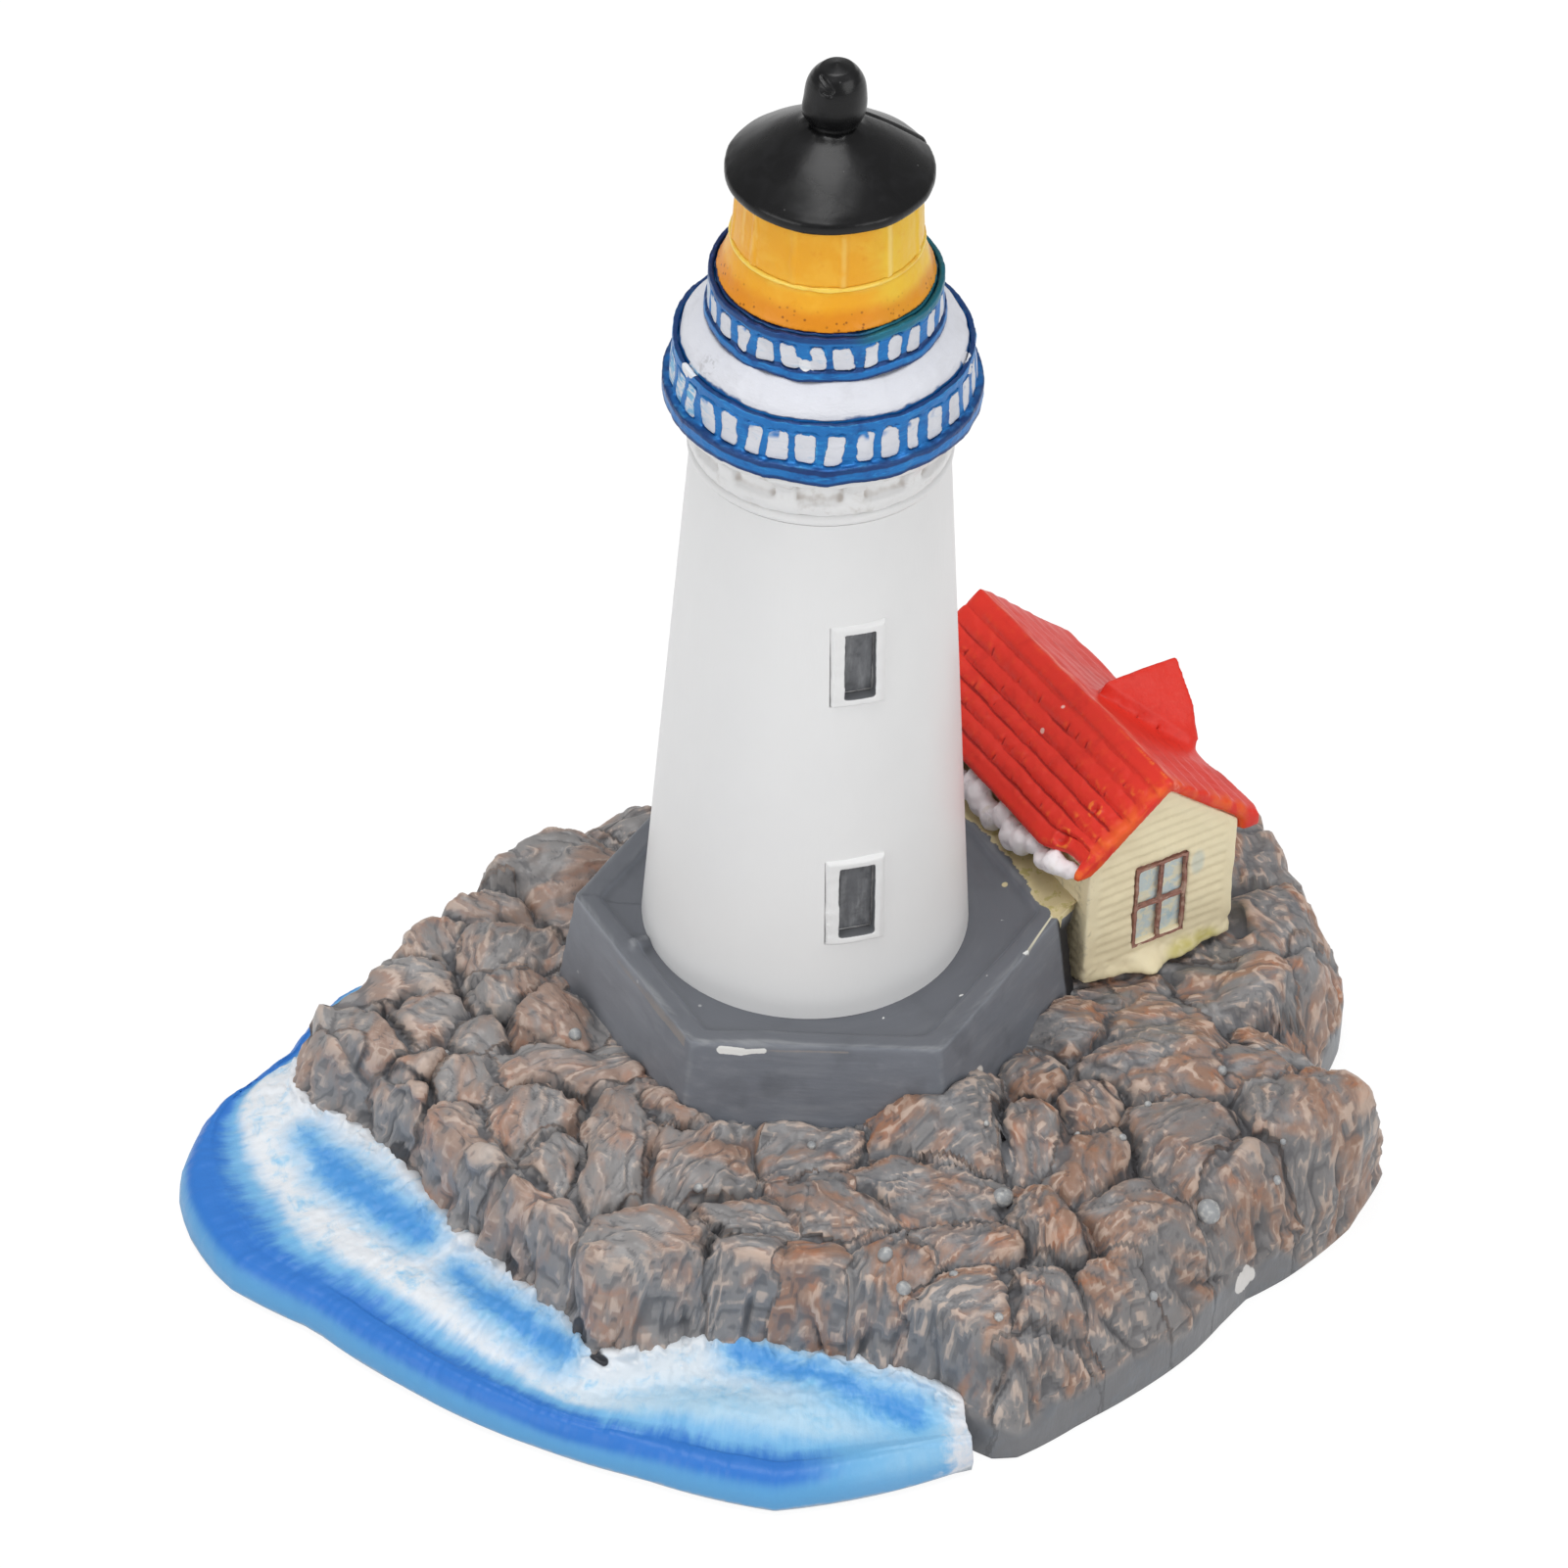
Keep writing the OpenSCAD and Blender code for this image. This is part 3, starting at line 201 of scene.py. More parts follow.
class FigurineStage(bpy.types.PropertyGroup):
    """Camera and light"""
    pitch: FloatProperty(name="Camera pitch", default=math.radians(40.69), subtype="ANGLE",
                         description="Angle by which the camera looks down")
    roll: FloatProperty(name="Camera roll", default=math.radians(1.75), subtype="ANGLE",
                        description="Lean of the camera to its side")
    lens: FloatProperty(name="Lens", default=168.65, description="Focal length in millimetres")
    key: FloatProperty(name="Overhead light", default=1.85, unit="POWER",
                       description="Power of the soft box over the figurine")
    fill: FloatProperty(name="Side light", default=2.25, unit="POWER",
                        description="Power of each soft box at the sides")
    sky: FloatProperty(name="Room light", default=0.39, description="Strength of the room's light")


# Small tools for meshes

def deselect_all():
    """Leaves nothing selected or active, in object mode."""
    if bpy.context.object and bpy.context.object.mode != "OBJECT":
        bpy.ops.object.mode_set(mode="OBJECT")
    bpy.ops.object.select_all(action="DESELECT")
    bpy.context.view_layer.objects.active = None


def choose(piece):
    """Makes one piece the only selected and the active one."""
    deselect_all()
    piece.select_set(True)
    bpy.context.view_layer.objects.active = piece
    return piece


def edit(piece, *steps):
    """Runs edit-mode steps on all of a piece's mesh."""
    choose(piece)
    bpy.ops.object.mode_set(mode="EDIT")
    bpy.ops.mesh.select_all(action="SELECT")
    for step in steps:
        step()
    bpy.ops.object.mode_set(mode="OBJECT")


def weld():
    bpy.ops.mesh.remove_doubles(threshold=1e-6)


def face_outwards():
    bpy.ops.mesh.select_all(action="SELECT")
    bpy.ops.mesh.normals_make_consistent(inside=False)


def close_holes():
    bpy.ops.mesh.select_all(action="DESELECT")
    bpy.ops.mesh.select_non_manifold()
    bpy.ops.mesh.fill_holes(sides=0)


def modify(piece, kind, **settings):
    """Adds one modifier and applies it."""
    choose(piece)
    modifier = piece.modifiers.new(kind.title(), kind)
    for name, value in settings.items():
        setattr(modifier, name, value)
    bpy.ops.object.modifier_apply(modifier=modifier.name)


def points_of(piece):
    """The piece's points in millimetres."""
    co = np.empty(len(piece.data.vertices) * 3, np.float32)
    piece.data.vertices.foreach_get("co", co)
    return co.reshape(-1, 3).astype(float) / MM


def round_axis(points):
    """Each point's direction in radians and its distance from the tower's axis."""
    return np.arctan2(points[:, 1], points[:, 0]), np.hypot(points[:, 0], points[:, 1])


def set_points(piece, points):
    piece.data.vertices.foreach_set("co", (points * MM).astype(np.float32).ravel())
    piece.data.update()


def normals_of(piece):
    normals = np.empty(len(piece.data.vertices) * 3, np.float32)
    piece.data.vertex_normals.foreach_get("vector", normals)
    return normals.reshape(-1, 3).astype(float)


def averaged(piece, values, rounds):
    """Values at the points, averaged along the edges so many times."""
    edges = np.empty(len(piece.data.edges) * 2, np.int64)
    piece.data.edges.foreach_get("vertices", edges)
    a, b = edges.reshape(-1, 2).T
    size = len(piece.data.vertices)
    count = np.bincount(edges, minlength=size).clip(1)
    flat = values.reshape(size, -1).astype(float)
    for _ in range(rounds):
        flat = np.stack([
            0.4 * column + 0.6 * (np.bincount(a, column[b], size) + np.bincount(b, column[a], size)) / count
            for column in flat.T], axis=1)
    return flat.reshape(values.shape)


def softened(piece, points, rounds, share=1.0):
    """Points moved a share of the way to their smoothed places."""
    return points + (averaged(piece, points, rounds) - points) * np.reshape(share, (-1, 1))


def relief(piece, rounds):
    """How far each point stands out from its smoothed surroundings, in millimetres."""
    points = points_of(piece)
    return ((points - averaged(piece, points, rounds)) * normals_of(piece)).sum(axis=1)


def keep(piece, name, values):
    """Stores one value for each point, for the piece's paint to read."""
    layer = piece.data.attributes.new(name, "FLOAT", "POINT")
    layer.data.foreach_set("value", np.asarray(values, np.float32))


def keep_relief(piece, rounds, height, name="edge"):
    """Keeps how far points stand out from their surroundings, as a share of a height in millimetres."""
    keep(piece, name, np.clip(relief(piece, rounds) / height, -1.5, 1.5))


def keep_vector(piece, name, values):
    layer = piece.data.attributes.new(name, "FLOAT_VECTOR", "POINT")
    layer.data.foreach_set("vector", np.asarray(values, np.float32).ravel())


def ease(t):
    t = np.clip(t, 0, 1)
    return t * t * (3 - 2 * t)


def bell(distance, width):
    """1 at no distance, falling softly to 0 over about twice the width."""
    return np.exp(-(distance / width) ** 2)


def hills(points, size, octaves=3):
    """Soft noise between about -1 and 1, with hills of the given size."""
    return np.array([noise.fractal(Vector(p), 1.0, 2.0, octaves) for p in points / size])


def drift(points, size):
    """Soft noise between about -1 and 1 in each of three directions."""
    return np.array([noise.noise_vector(Vector(p)) for p in points / size])


def cells(points, size):
    """Distances to the nearest and second nearest scattered point, as shares of the size."""
    near = [noise.voronoi(Vector(p))[0][:2] for p in points / size]
    return np.array(near).T


def from_line(points, start, end):
    """Distance of points from a straight line between two places, in as many directions as these have."""
    start, end = np.array(start, float), np.array(end, float)
    away = points[:, :len(start)] - start
    share = np.clip(away @ (end - start) / ((end - start) @ (end - start)), 0, 1)
    return np.linalg.norm(away - share[:, None] * (end - start), axis=1)


def repaint(piece, paint):
    """Gives a piece one paint."""
    piece.data.materials.clear()
    piece.data.materials.append(paint)


def finish(piece, paint, slot, *nodes):
    """Paints a piece, shades it smooth, lets it ride on the figurine and hides the nodes it stands for."""
    choose(piece)
    bpy.ops.object.shade_smooth()
    repaint(piece, paint)
    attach(piece, BODY)
    if nodes:
        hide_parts(*nodes)


def copy_of(name, *nodes, sink=0.0):
    """A new piece that starts as a merged copy of one or more nodes, the later ones set lower by sink."""
    deselect_all()
    for node in nodes:
        twin = frame["nodes"][node].copy()
        twin.data = twin.data.copy()
        twin.parent = None
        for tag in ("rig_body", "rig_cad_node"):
            del twin[tag]
        if node != nodes[0]:
            twin.data.transform(Matrix.Translation((0, 0, -sink * MM)))
        bpy.context.scene.collection.objects.link(twin)
        twin.select_set(True)
        bpy.context.view_layer.objects.active = twin
    if len(nodes) > 1:
        bpy.ops.object.join()
    piece = bpy.context.view_layer.objects.active
    piece.name = piece.data.name = name
    edit(piece, weld)
    return piece


def cast_copy(name, *nodes, voxel, rounds=4, wobble=0.0, size=1.6, sink=0.0):
    """A copy with the soft edges and the uneven faces of a small casting under thick paint."""
    piece = copy_of(name, *nodes, sink=sink)
    modify(piece, "REMESH", mode="VOXEL", voxel_size=voxel * MM, use_smooth_shade=True)
    modify(piece, "SMOOTH", factor=0.5, iterations=rounds)
    if wobble:
        points = points_of(piece)
        lift = wobble * hills(points, size)[:, None]
        set_points(piece, points + lift * normals_of(piece))
    return piece


def ringed_sheet(name, grid):
    """A closed skin from rows of points: grid[ring][column], each ring closed on itself."""
    rings, columns = grid.shape[:2]
    deselect_all()
    bpy.ops.mesh.primitive_grid_add(x_subdivisions=columns, y_subdivisions=rings - 1, size=2)
    piece = bpy.context.object
    piece.name = piece.data.name = name
    flat = np.empty(len(piece.data.vertices) * 3, np.float32)
    piece.data.vertices.foreach_get("co", flat)
    u, v, _ = flat.reshape(-1, 3).T
    column = np.rint((u + 1) / 2 * columns).astype(int) % columns
    ring = np.rint((v + 1) / 2 * (rings - 1)).astype(int)
    set_points(piece, grid[ring, column])
    edit(piece, weld, close_holes, face_outwards)
    return piece


# Small tools for paint

class Field:
    """A number or colour that varies over a surface; arithmetic on fields adds Math nodes."""

    def __init__(self, paint, socket):
        self.paint = paint
        self.socket = socket

    def math(self, operation, *others):
        return self.paint.node("ShaderNodeMath", {"operation": operation}, self, *others)

    def __add__(self, other):
        return self.math("ADD", other)

    __radd__ = __add__

    def __sub__(self, other):
        return self.math("SUBTRACT", other)

    def __rsub__(self, other):
        return self.paint.node("ShaderNodeMath", {"operation": "SUBTRACT"}, other, self)

    def __mul__(self, other):
        return self.math("MULTIPLY", other)

    __rmul__ = __mul__

    def __neg__(self):
        return 0 - self

    def higher(self, other):
        return self.math("MAXIMUM", other)

    def step(self, low, high):
        """0 below low, 1 above high, and a soft rise between."""
        return self.paint.node("ShaderNodeMapRange", {"interpolation_type": "SMOOTHSTEP"},
                               self, low, high)


class Paint:
    """One paint finish, built from nodes on its own material."""

    def __init__(self, name, roughness, coat=0.0, gloss=0.5):
        self.material = bpy.data.materials.new(name)
        self.material.use_nodes = True
        self.tree = self.material.node_tree
        self.surface = self.tree.nodes["Principled BSDF"]
        for socket, value in (("Roughness", roughness), ("Coat Weight", coat), ("Coat Roughness", 0.15),
                              ("Specular IOR Level", gloss)):
            self.surface.inputs[socket].default_value = value
        self.place = self.node("ShaderNodeVectorMath", {"operation": "SCALE"},
                               Vector=self.node("ShaderNodeTexCoord", out="Object"), Scale=1 / MM)

    def node(self, kind, settings=None, *inputs, out=0, **named):
        """Adds a node: its settings first, then its sockets by order or by name."""
        node = self.tree.nodes.new(kind)
        for name, value in (settings or {}).items():
            setattr(node, name, value)
        for socket, value in [*zip(node.inputs, inputs), *((node.inputs[k], v) for k, v in named.items())]:
            if isinstance(value, Field):
                self.tree.links.new(value.socket, socket)
            elif value is not None:
                socket.default_value = value
        return Field(self, node.outputs[out])

    def stretched(self, x=1.0, y=1.0, z=1.0, place=None):
        """The place on the piece in millimetres, with each direction multiplied."""
        return self.node("ShaderNodeVectorMath", {"operation": "MULTIPLY"}, place or self.place, (x, y, z))

    def part(self, axis, place=None):
        return self.node("ShaderNodeSeparateXYZ", None, place or self.place, out=axis)

    def noise(self, size, detail=3, rough=0.55, place=None, bend=0.0):
        """Noise from 0 to 1 with patches of the given size in millimetres."""
        return self.node("ShaderNodeTexNoise", None, Vector=place or self.place, Scale=1 / size,
                         Detail=detail, Roughness=rough, Distortion=bend)

    def specks(self, size):
        """Distance from scattered points, as a share of the size."""
        return self.node("ShaderNodeTexVoronoi", None, Vector=self.place, Scale=1 / size)

    def kept(self, name):
        return self.node("ShaderNodeAttribute", {"attribute_name": name}, out="Fac")

    def kept_vector(self, name):
        return self.node("ShaderNodeAttribute", {"attribute_name": name}, out="Vector")

    def spot(self, x, y, z, radius, soft):
        """1 inside a ball round a place in millimetres, fading to 0 over the soft margin."""
        away = self.node("ShaderNodeVectorMath", {"operation": "DISTANCE"}, self.place, (x, y, z),
                         out="Value")
        return 1 - away.step(radius, radius + soft)

    def spots(self, *balls):
        """1 inside any of several balls, each given as for spot."""
        joined, *others = (self.spot(*ball) for ball in balls)
        for other in others:
            joined = joined.higher(other)
        return joined

    def mix(self, base, top, amount):
        """Colour base with colour top laid over it by amount."""
        base, top = (colour if isinstance(colour, Field) else (*colour, 1) for colour in (base, top))
        return self.node("ShaderNodeMix", {"data_type": "RGBA"}, amount, *[None] * 5, base, top, out=2)

    def layers(self, base, *tops):
        """Paint layers: a base colour, then pairs of colour and amount."""
        colour = base
        for top, amount in tops:
            colour = self.mix(colour, top, amount)
        return colour

    def done(self, colour, roughness=None, bump=None, depth=0.1, metallic=None):
        """Links the finished fields to the surface; depth is the bump's height in millimetres."""
        links = {"Base Color": colour, "Roughness": roughness, "Metallic": metallic}
        if bump is not None:
            links["Normal"] = self.node("ShaderNodeBump", None, Strength=1.0, Distance=depth * MM,
                                        Height=bump, out="Normal")
        for name, value in links.items():
            if isinstance(value, Field):
                self.tree.links.new(value.socket, self.surface.inputs[name])
        return self.material


# Rocks

def by_direction(table, angle):
    """A table of values by direction in degrees, read at angles in radians."""
    turns, values = zip(*table)
    return np.interp(np.degrees(angle) % 360, turns, values)


def rim_radius(node, angle, top=0.01):
    """Radius of a node's foot by direction, read from its lowest points."""
    corners = points_of(frame["nodes"][node])
    turn, radius = round_axis(corners[corners[:, 2] < top])
    slots = np.rint(np.degrees(turn) % 360 / 2.4).astype(int) % 150
    widest = np.array([radius[slots == k].max(initial=0) for k in range(150)])
    known = np.flatnonzero(widest)
    return np.interp(np.degrees(angle) % 360, known * 2.4, widest[known], period=360)


def boulder_field(x, y):
    """Distances to the nearest and next boulder, and the nearest one's number."""
    reach = []
    for middle_x, middle_y, long, wide, turn, _ in BOULDERS:
        cosine, sine = math.cos(math.radians(turn)), math.sin(math.radians(turn))
        dx, dy = x - middle_x, y - middle_y
        reach.append(np.hypot((dx * cosine + dy * sine) / long, (dy * cosine - dx * sine) / wide))
    order = np.argsort(reach, axis=0)[:2]
    near, after = np.take_along_axis(np.array(reach), order, axis=0)
    return near, after, order[0]


def cottage_place(x, y):
    """Places along the cottage's gable and along its ridge, from the corner nearest the front."""
    corners = points_of(frame["nodes"]["cottage_walls"])
    front = corners[corners[:, 1].argmin()]
    dx, dy = x - front[0], y - front[1]
    return dx * GABLE_WAY[0] + dy * GABLE_WAY[1], dx * RIDGE_WAY[0] + dy * RIDGE_WAY[1]


def rock_grid(sculpt):
    """Points of the rock's skin from its foot, up the cliffs and in over the plateau."""
    turn = np.linspace(0, 1, sculpt.columns, endpoint=False)
    angle = (2 * math.pi * turn - 0.4 * np.sin(2 * math.pi * (turn - 0.77)))[None, :]
    share = np.linspace(0, 1, sculpt.rings)[:, None] ** 1.15
    rim = rim_radius("rock_island", angle)
    level = rim + (CORE_R - rim) * share
    x, y = level * np.cos(angle), level * np.sin(angle)
    flat = np.stack([x, y, np.zeros_like(x)], axis=-1).reshape(-1, 3)
    warp = drift(flat, 3.4).reshape(*x.shape, 3) * 1.2
    near, after, which = boulder_field(x + warp[..., 0], y + warp[..., 1])
    rise = np.array([row[5] for row in BOULDERS])[which] * sculpt.boulder_rise / MM
    edge = rim - level
    run = np.clip(edge / by_direction(CLIFF_RUN, angle), 0, 1)
    ground = BAND_H + (PLATEAU_H - GROUND_DROP - BAND_H) * (0.6 * ease(run) + 0.4 * (1 - (1 - run) ** 2))
    crown = rise * (1 - 0.45 * np.minimum(1.4, near) ** 2)
    crack = np.clip(1 - (after - near) / 0.5, 0, 1) ** 1.4 * openness(flat).reshape(x.shape)
    z = ground + (crown - crack * sculpt.crack_depth / MM) * ease(edge / 1.6)
    beside = bell(plinth_inset(flat).reshape(x.shape) + 1.3, 1.2) * ease((-8 - y) / 4)
    z = z + 1.0 * beside
    along, up = cottage_place(x, y)
    inside = np.minimum.reduce([along + 0.6, PAD_SIZE[0] - along, up + 0.6, PAD_SIZE[1] - up])
    pad = ease(1 + inside / 1.2)
    z = np.maximum(np.where(pad > 0, z + (PAD_H - z) * pad, z), BAND_H)
    bulge = by_direction(BROW, angle) * np.sin(math.pi * np.minimum(1, share / 0.14))
    radius = level + bulge
    skin = np.stack([radius * np.cos(angle), radius * np.sin(angle), z], axis=-1)
    steps = np.linspace(0, 1, 14)[:-1, None]
    band = np.stack([skin[0, :, 0] * np.ones_like(steps), skin[0, :, 1] * np.ones_like(steps),
                     BAND_H * steps * np.ones_like(angle)], axis=-1)
    return np.concatenate([band, skin])


def openness(points):
    """How deep the gaps between boulders are cut, from nearly closed to more than full depth."""
    return 0.2 + 1.0 * ease(hills(points * (1, 1, 0) + 40, 6, 2) * 1.8 + 0.35)


def boulder_grain(points, which):
    """Places measured from each boulder's middle, along and across it, with its own part of the noise."""
    rows = np.array(BOULDERS)[which]
    wide = np.where(rows[:, 3] > 1.15 * rows[:, 2], 90, which * 67)
    spin = np.where(rows[:, 2] > 1.15 * rows[:, 3], 0, wide)
    turn = np.radians(rows[:, 4] + spin + 25 * np.sin(which * 2.4))
    dx, dy = points[:, 0] - rows[:, 0], points[:, 1] - rows[:, 1]
    return np.stack([dx * np.cos(turn) + dy * np.sin(turn) + which * 31.7,
                     dy * np.cos(turn) - dx * np.sin(turn) + which * 17.3, points[:, 2]], axis=1)


def rock_folds(points, which):
    """Height of the pillows, facets, thin folds, carved grooves and dents in the rock, about -1 to 1."""
    bend = drift(points, 2.6)
    grain = boulder_grain(points, which) + bend * 0.7
    upright = ease((points[:, 0] + 8) / 3) * ease((19 - points[:, 0]) / 3) * ease((-27 - points[:, 1]) / 2)
    tall = 0.62 - 0.36 * upright

    def drawn(along):
        return grain * np.stack([np.full_like(tall, along), np.ones_like(tall), tall], axis=1)

    first, second = cells(drawn(0.55), 3.3)
    pillows = 0.75 - first ** 2 * 1.7 - 0.6 * bell(second - first, 0.10)
    thin = bell(hills(drawn(0.36) + 90, 2.0, 2) - 0.06, 0.10)
    carved = bell(hills(drawn(0.26) + 50, 1.5, 2), 0.12) * ease(hills(points + 70, 5.0, 2) * 2 + 0.6)
    dents = bell(cells(points + bend * 0.4 + 30, 2.1)[0], 0.3)
    facets = np.abs(hills(drawn(0.6) + 20, 3.0, 1)) * 1.3 - 0.4
    grain_lift = 0.6 * pillows + 0.5 * thin - 0.6 * carved + 1.15 * facets
    return grain_lift - 0.36 * dents + 0.14 * hills(points, 0.8, 2)


class FIGURINE_OT_rocks(bpy.types.Operator):
    """Sculpts the rock island with its boulders, cracks, pillows and thin folds"""
    bl_idname = "figurine.rocks"
    bl_label = "Rock island"

    def execute(self, context):
        sculpt = context.scene.figurine_sculpt
        piece = ringed_sheet("rock_mass", rock_grid(sculpt))
        points, normals = points_of(piece), normals_of(piece)
        warp = drift(points, 3.4) * 1.2
        near, after, which = boulder_field(points[:, 0] + warp[:, 0], points[:, 1] + warp[:, 1])
        crack = np.clip(1 - (after - near) / 0.34, 0, 1) ** 1.5 * np.clip(openness(points) - 0.15, 0, 1)
        turn, radius = round_axis(points)
        turn = np.degrees(turn)
        lobe = ease((turn + 30) / 5) * ease((3 - turn) / 5)
        foot = points[:, 2] + 1.3 * hills(points * (1, 1, 0.3) + 10, 3.6, 2) + 5 * lobe
        high = ease((foot - 2.4) / 2.2)
        notch = bell(hills(points * (1, 1, 0.12) + 60, 2.6, 1), 0.10) * ease((11 - points[:, 2]) / 5)
        shore = notch * high * ease(radius / 4 - 6.0)
        lift = rock_folds(points, which) * high * (1 - 0.5 * crack) * (sculpt.fold_depth / MM)
        lift += 0.03 * hills(points, 1.6, 2) - 0.55 * shore
        lift *= ease(points[:, 2] / 1.2)
        set_points(piece, points + normals * lift[:, None])
        fine, broad = relief(piece, 3), relief(piece, 26)
        keep(piece, "crack", np.clip(crack * ease(foot / 5 - 0.6), 0, 1))
        keep(piece, "hollow", np.clip(-broad / 0.4, 0, 1.5))
        keep(piece, "crest", np.clip(fine / 0.028, -1.5, 1.5))
        keep(piece, "raised", np.clip(broad / 0.3, -1.5, 1.5))
        keep(piece, "flank", 1 - np.clip(normals[:, 2], 0, 1))
        keep(piece, "high", high)
        keep_vector(piece, "grain", boulder_grain(points, which))
        finish(piece, rock_paint(context.scene.figurine_paint), "rock", "rock_island")
        return {"FINISHED"}


def rock_paint(colours):
    """Grey undercoat, copper brown drawn along the boulders, pale dry-brushed crests that also stand in for
    their highlights, a dark wash with painted shade in the cracks and hollows, and near-black painted shade
    in holes at the shore.
    """
    paint = Paint("rock_paint", 0.45, gloss=0.4)
    crack, hollow, crest = paint.kept("crack"), paint.kept("hollow"), paint.kept("crest")
    raised, flank, high = paint.kept("raised"), paint.kept("flank"), paint.kept("high")
    grain = paint.kept_vector("grain")
    patches = paint.noise(3.4, 3, 0.55, paint.stretched(0.5, 1, 0.35, grain), 0.8)
    steep = flank.step(0.5, 0.85)
    drawn = paint.noise(1.3, 4, 0.6, paint.stretched(0.35, 1, 0.6, grain), 0.6)
    smears = drawn + (paint.noise(1.1, 4, 0.6, paint.stretched(1, 1, 0.22), 0.5) - drawn) * steep
    fine = paint.noise(0.55, 4, 0.6, paint.stretched(0.4, 1, 0.4, grain), 0.5)
    wash = paint.noise(2.6, 3, 0.6, bend=1.0)
    body = high.step(0.25, 0.9)
    right, left = paint.part(0).step(10, 30), (-paint.part(0)).step(-5, 15)
    near = 1 - paint.part(1).step(-20, -5)
    front = 1 - paint.part(1).step(-34, -20)
    copper = patches + raised * 0.06 + (smears - 0.5) * 0.36 - flank * 0.03 - front * 0.05
    copper = copper.step(0.41, 0.65) * body
    grey = paint.layers(colours.rock_grey,
                        ((0.275, 0.275, 0.282), smears.step(0.45, 0.72) * 0.6),
                        ((0.115, 0.123, 0.140), wash.step(0.48, 0.72) * 0.65),
                        ((0.33, 0.285, 0.255), fine.step(0.55, 0.8) * body * 0.35))
    dry = paint.layers(colours.rock_copper,
                       ((0.43, 0.275, 0.195), fine.step(0.48, 0.72) * 0.6),
                       ((0.47, 0.170, 0.062), paint.noise(2.6, 3, 0.6, bend=0.5).step(0.52, 0.68) * 0.7),
                       ((0.19, 0.128, 0.10), paint.noise(1.7, 3, 0.6).step(0.55, 0.75) * 0.55))
    shore = paint.layers((0.130, 0.136, 0.150), ((0.17, 0.195, 0.225), wash.step(0.45, 0.7) * 0.6))
    chip = (paint.spot(*ROCK_CHIP) + (smears - 0.5) * 1.1).step(0.5, 0.6)
    # Near-black painted shade in the holes at the shore.
    holes = (paint.spots(*SHORE_HOLE_SHADE) + (smears - 0.5) * 1.6).step(0.4, 0.7)
    colour = paint.layers(grey, (dry, copper * 0.82),
                          # Pale dry-brush on the crests, also standing in for their highlights.
                          ((0.66, 0.52, 0.43), crest.step(0.7, 1.4) * body * smears.step(0.4, 0.6) * 0.6),
                          ((0.40, 0.375, 0.36), left * body * 0.26),
                          # Darker in the hollows, the cracks and the fine creases: painted shade, with the
                          # dark wash in the cracks.
                          ((0.080, 0.085, 0.098), hollow.step(0.35, 1.3) * 0.6),
                          ((0.035, 0.036, 0.042), crack.step(0.3, 0.9) * wash.step(0.3, 0.6) * 0.8),
                          ((0.095, 0.098, 0.108), (-crest).step(0.4, 1.3) * 0.5),
                          ((0.10, 0.075, 0.062), right * near * 0.2),
                          (shore, (1 - high.step(0.0, 0.5)) * 0.7),
                          ((0.018, 0.019, 0.024), holes * 0.85),
                          ((0.68, 0.66, 0.64), chip * fine.step(0.25, 0.4)))
    grit = paint.noise(0.3, 3, 0.6, paint.stretched(1, 1, 0.5))
    rough = 0.28 + smears * 0.2 + hollow * 0.12
    return paint.done(colour, rough, grit * 0.4 + smears + fine * 0.8, 0.07)


# Sea

def sea_grid(columns=520, rows=74):
    """Directions round the sea plate in degrees, its shore and rim in each, and shares across it."""
    turn, radius = round_axis(points_of(frame["nodes"]["sea_apron"]))
    turn = np.degrees(turn) % 360
    turns = np.linspace(turn.min(), turn.max(), columns)
    slots = np.unique(np.round(turn, 2))
    shore = np.array([radius[np.abs(turn - t) < 0.05].min() for t in slots])
    rim = np.array([radius[np.abs(turn - t) < 0.05].max() for t in slots])
    return turns, np.interp(turns, slots, shore), np.interp(turns, slots, rim), np.linspace(0, 1, rows)


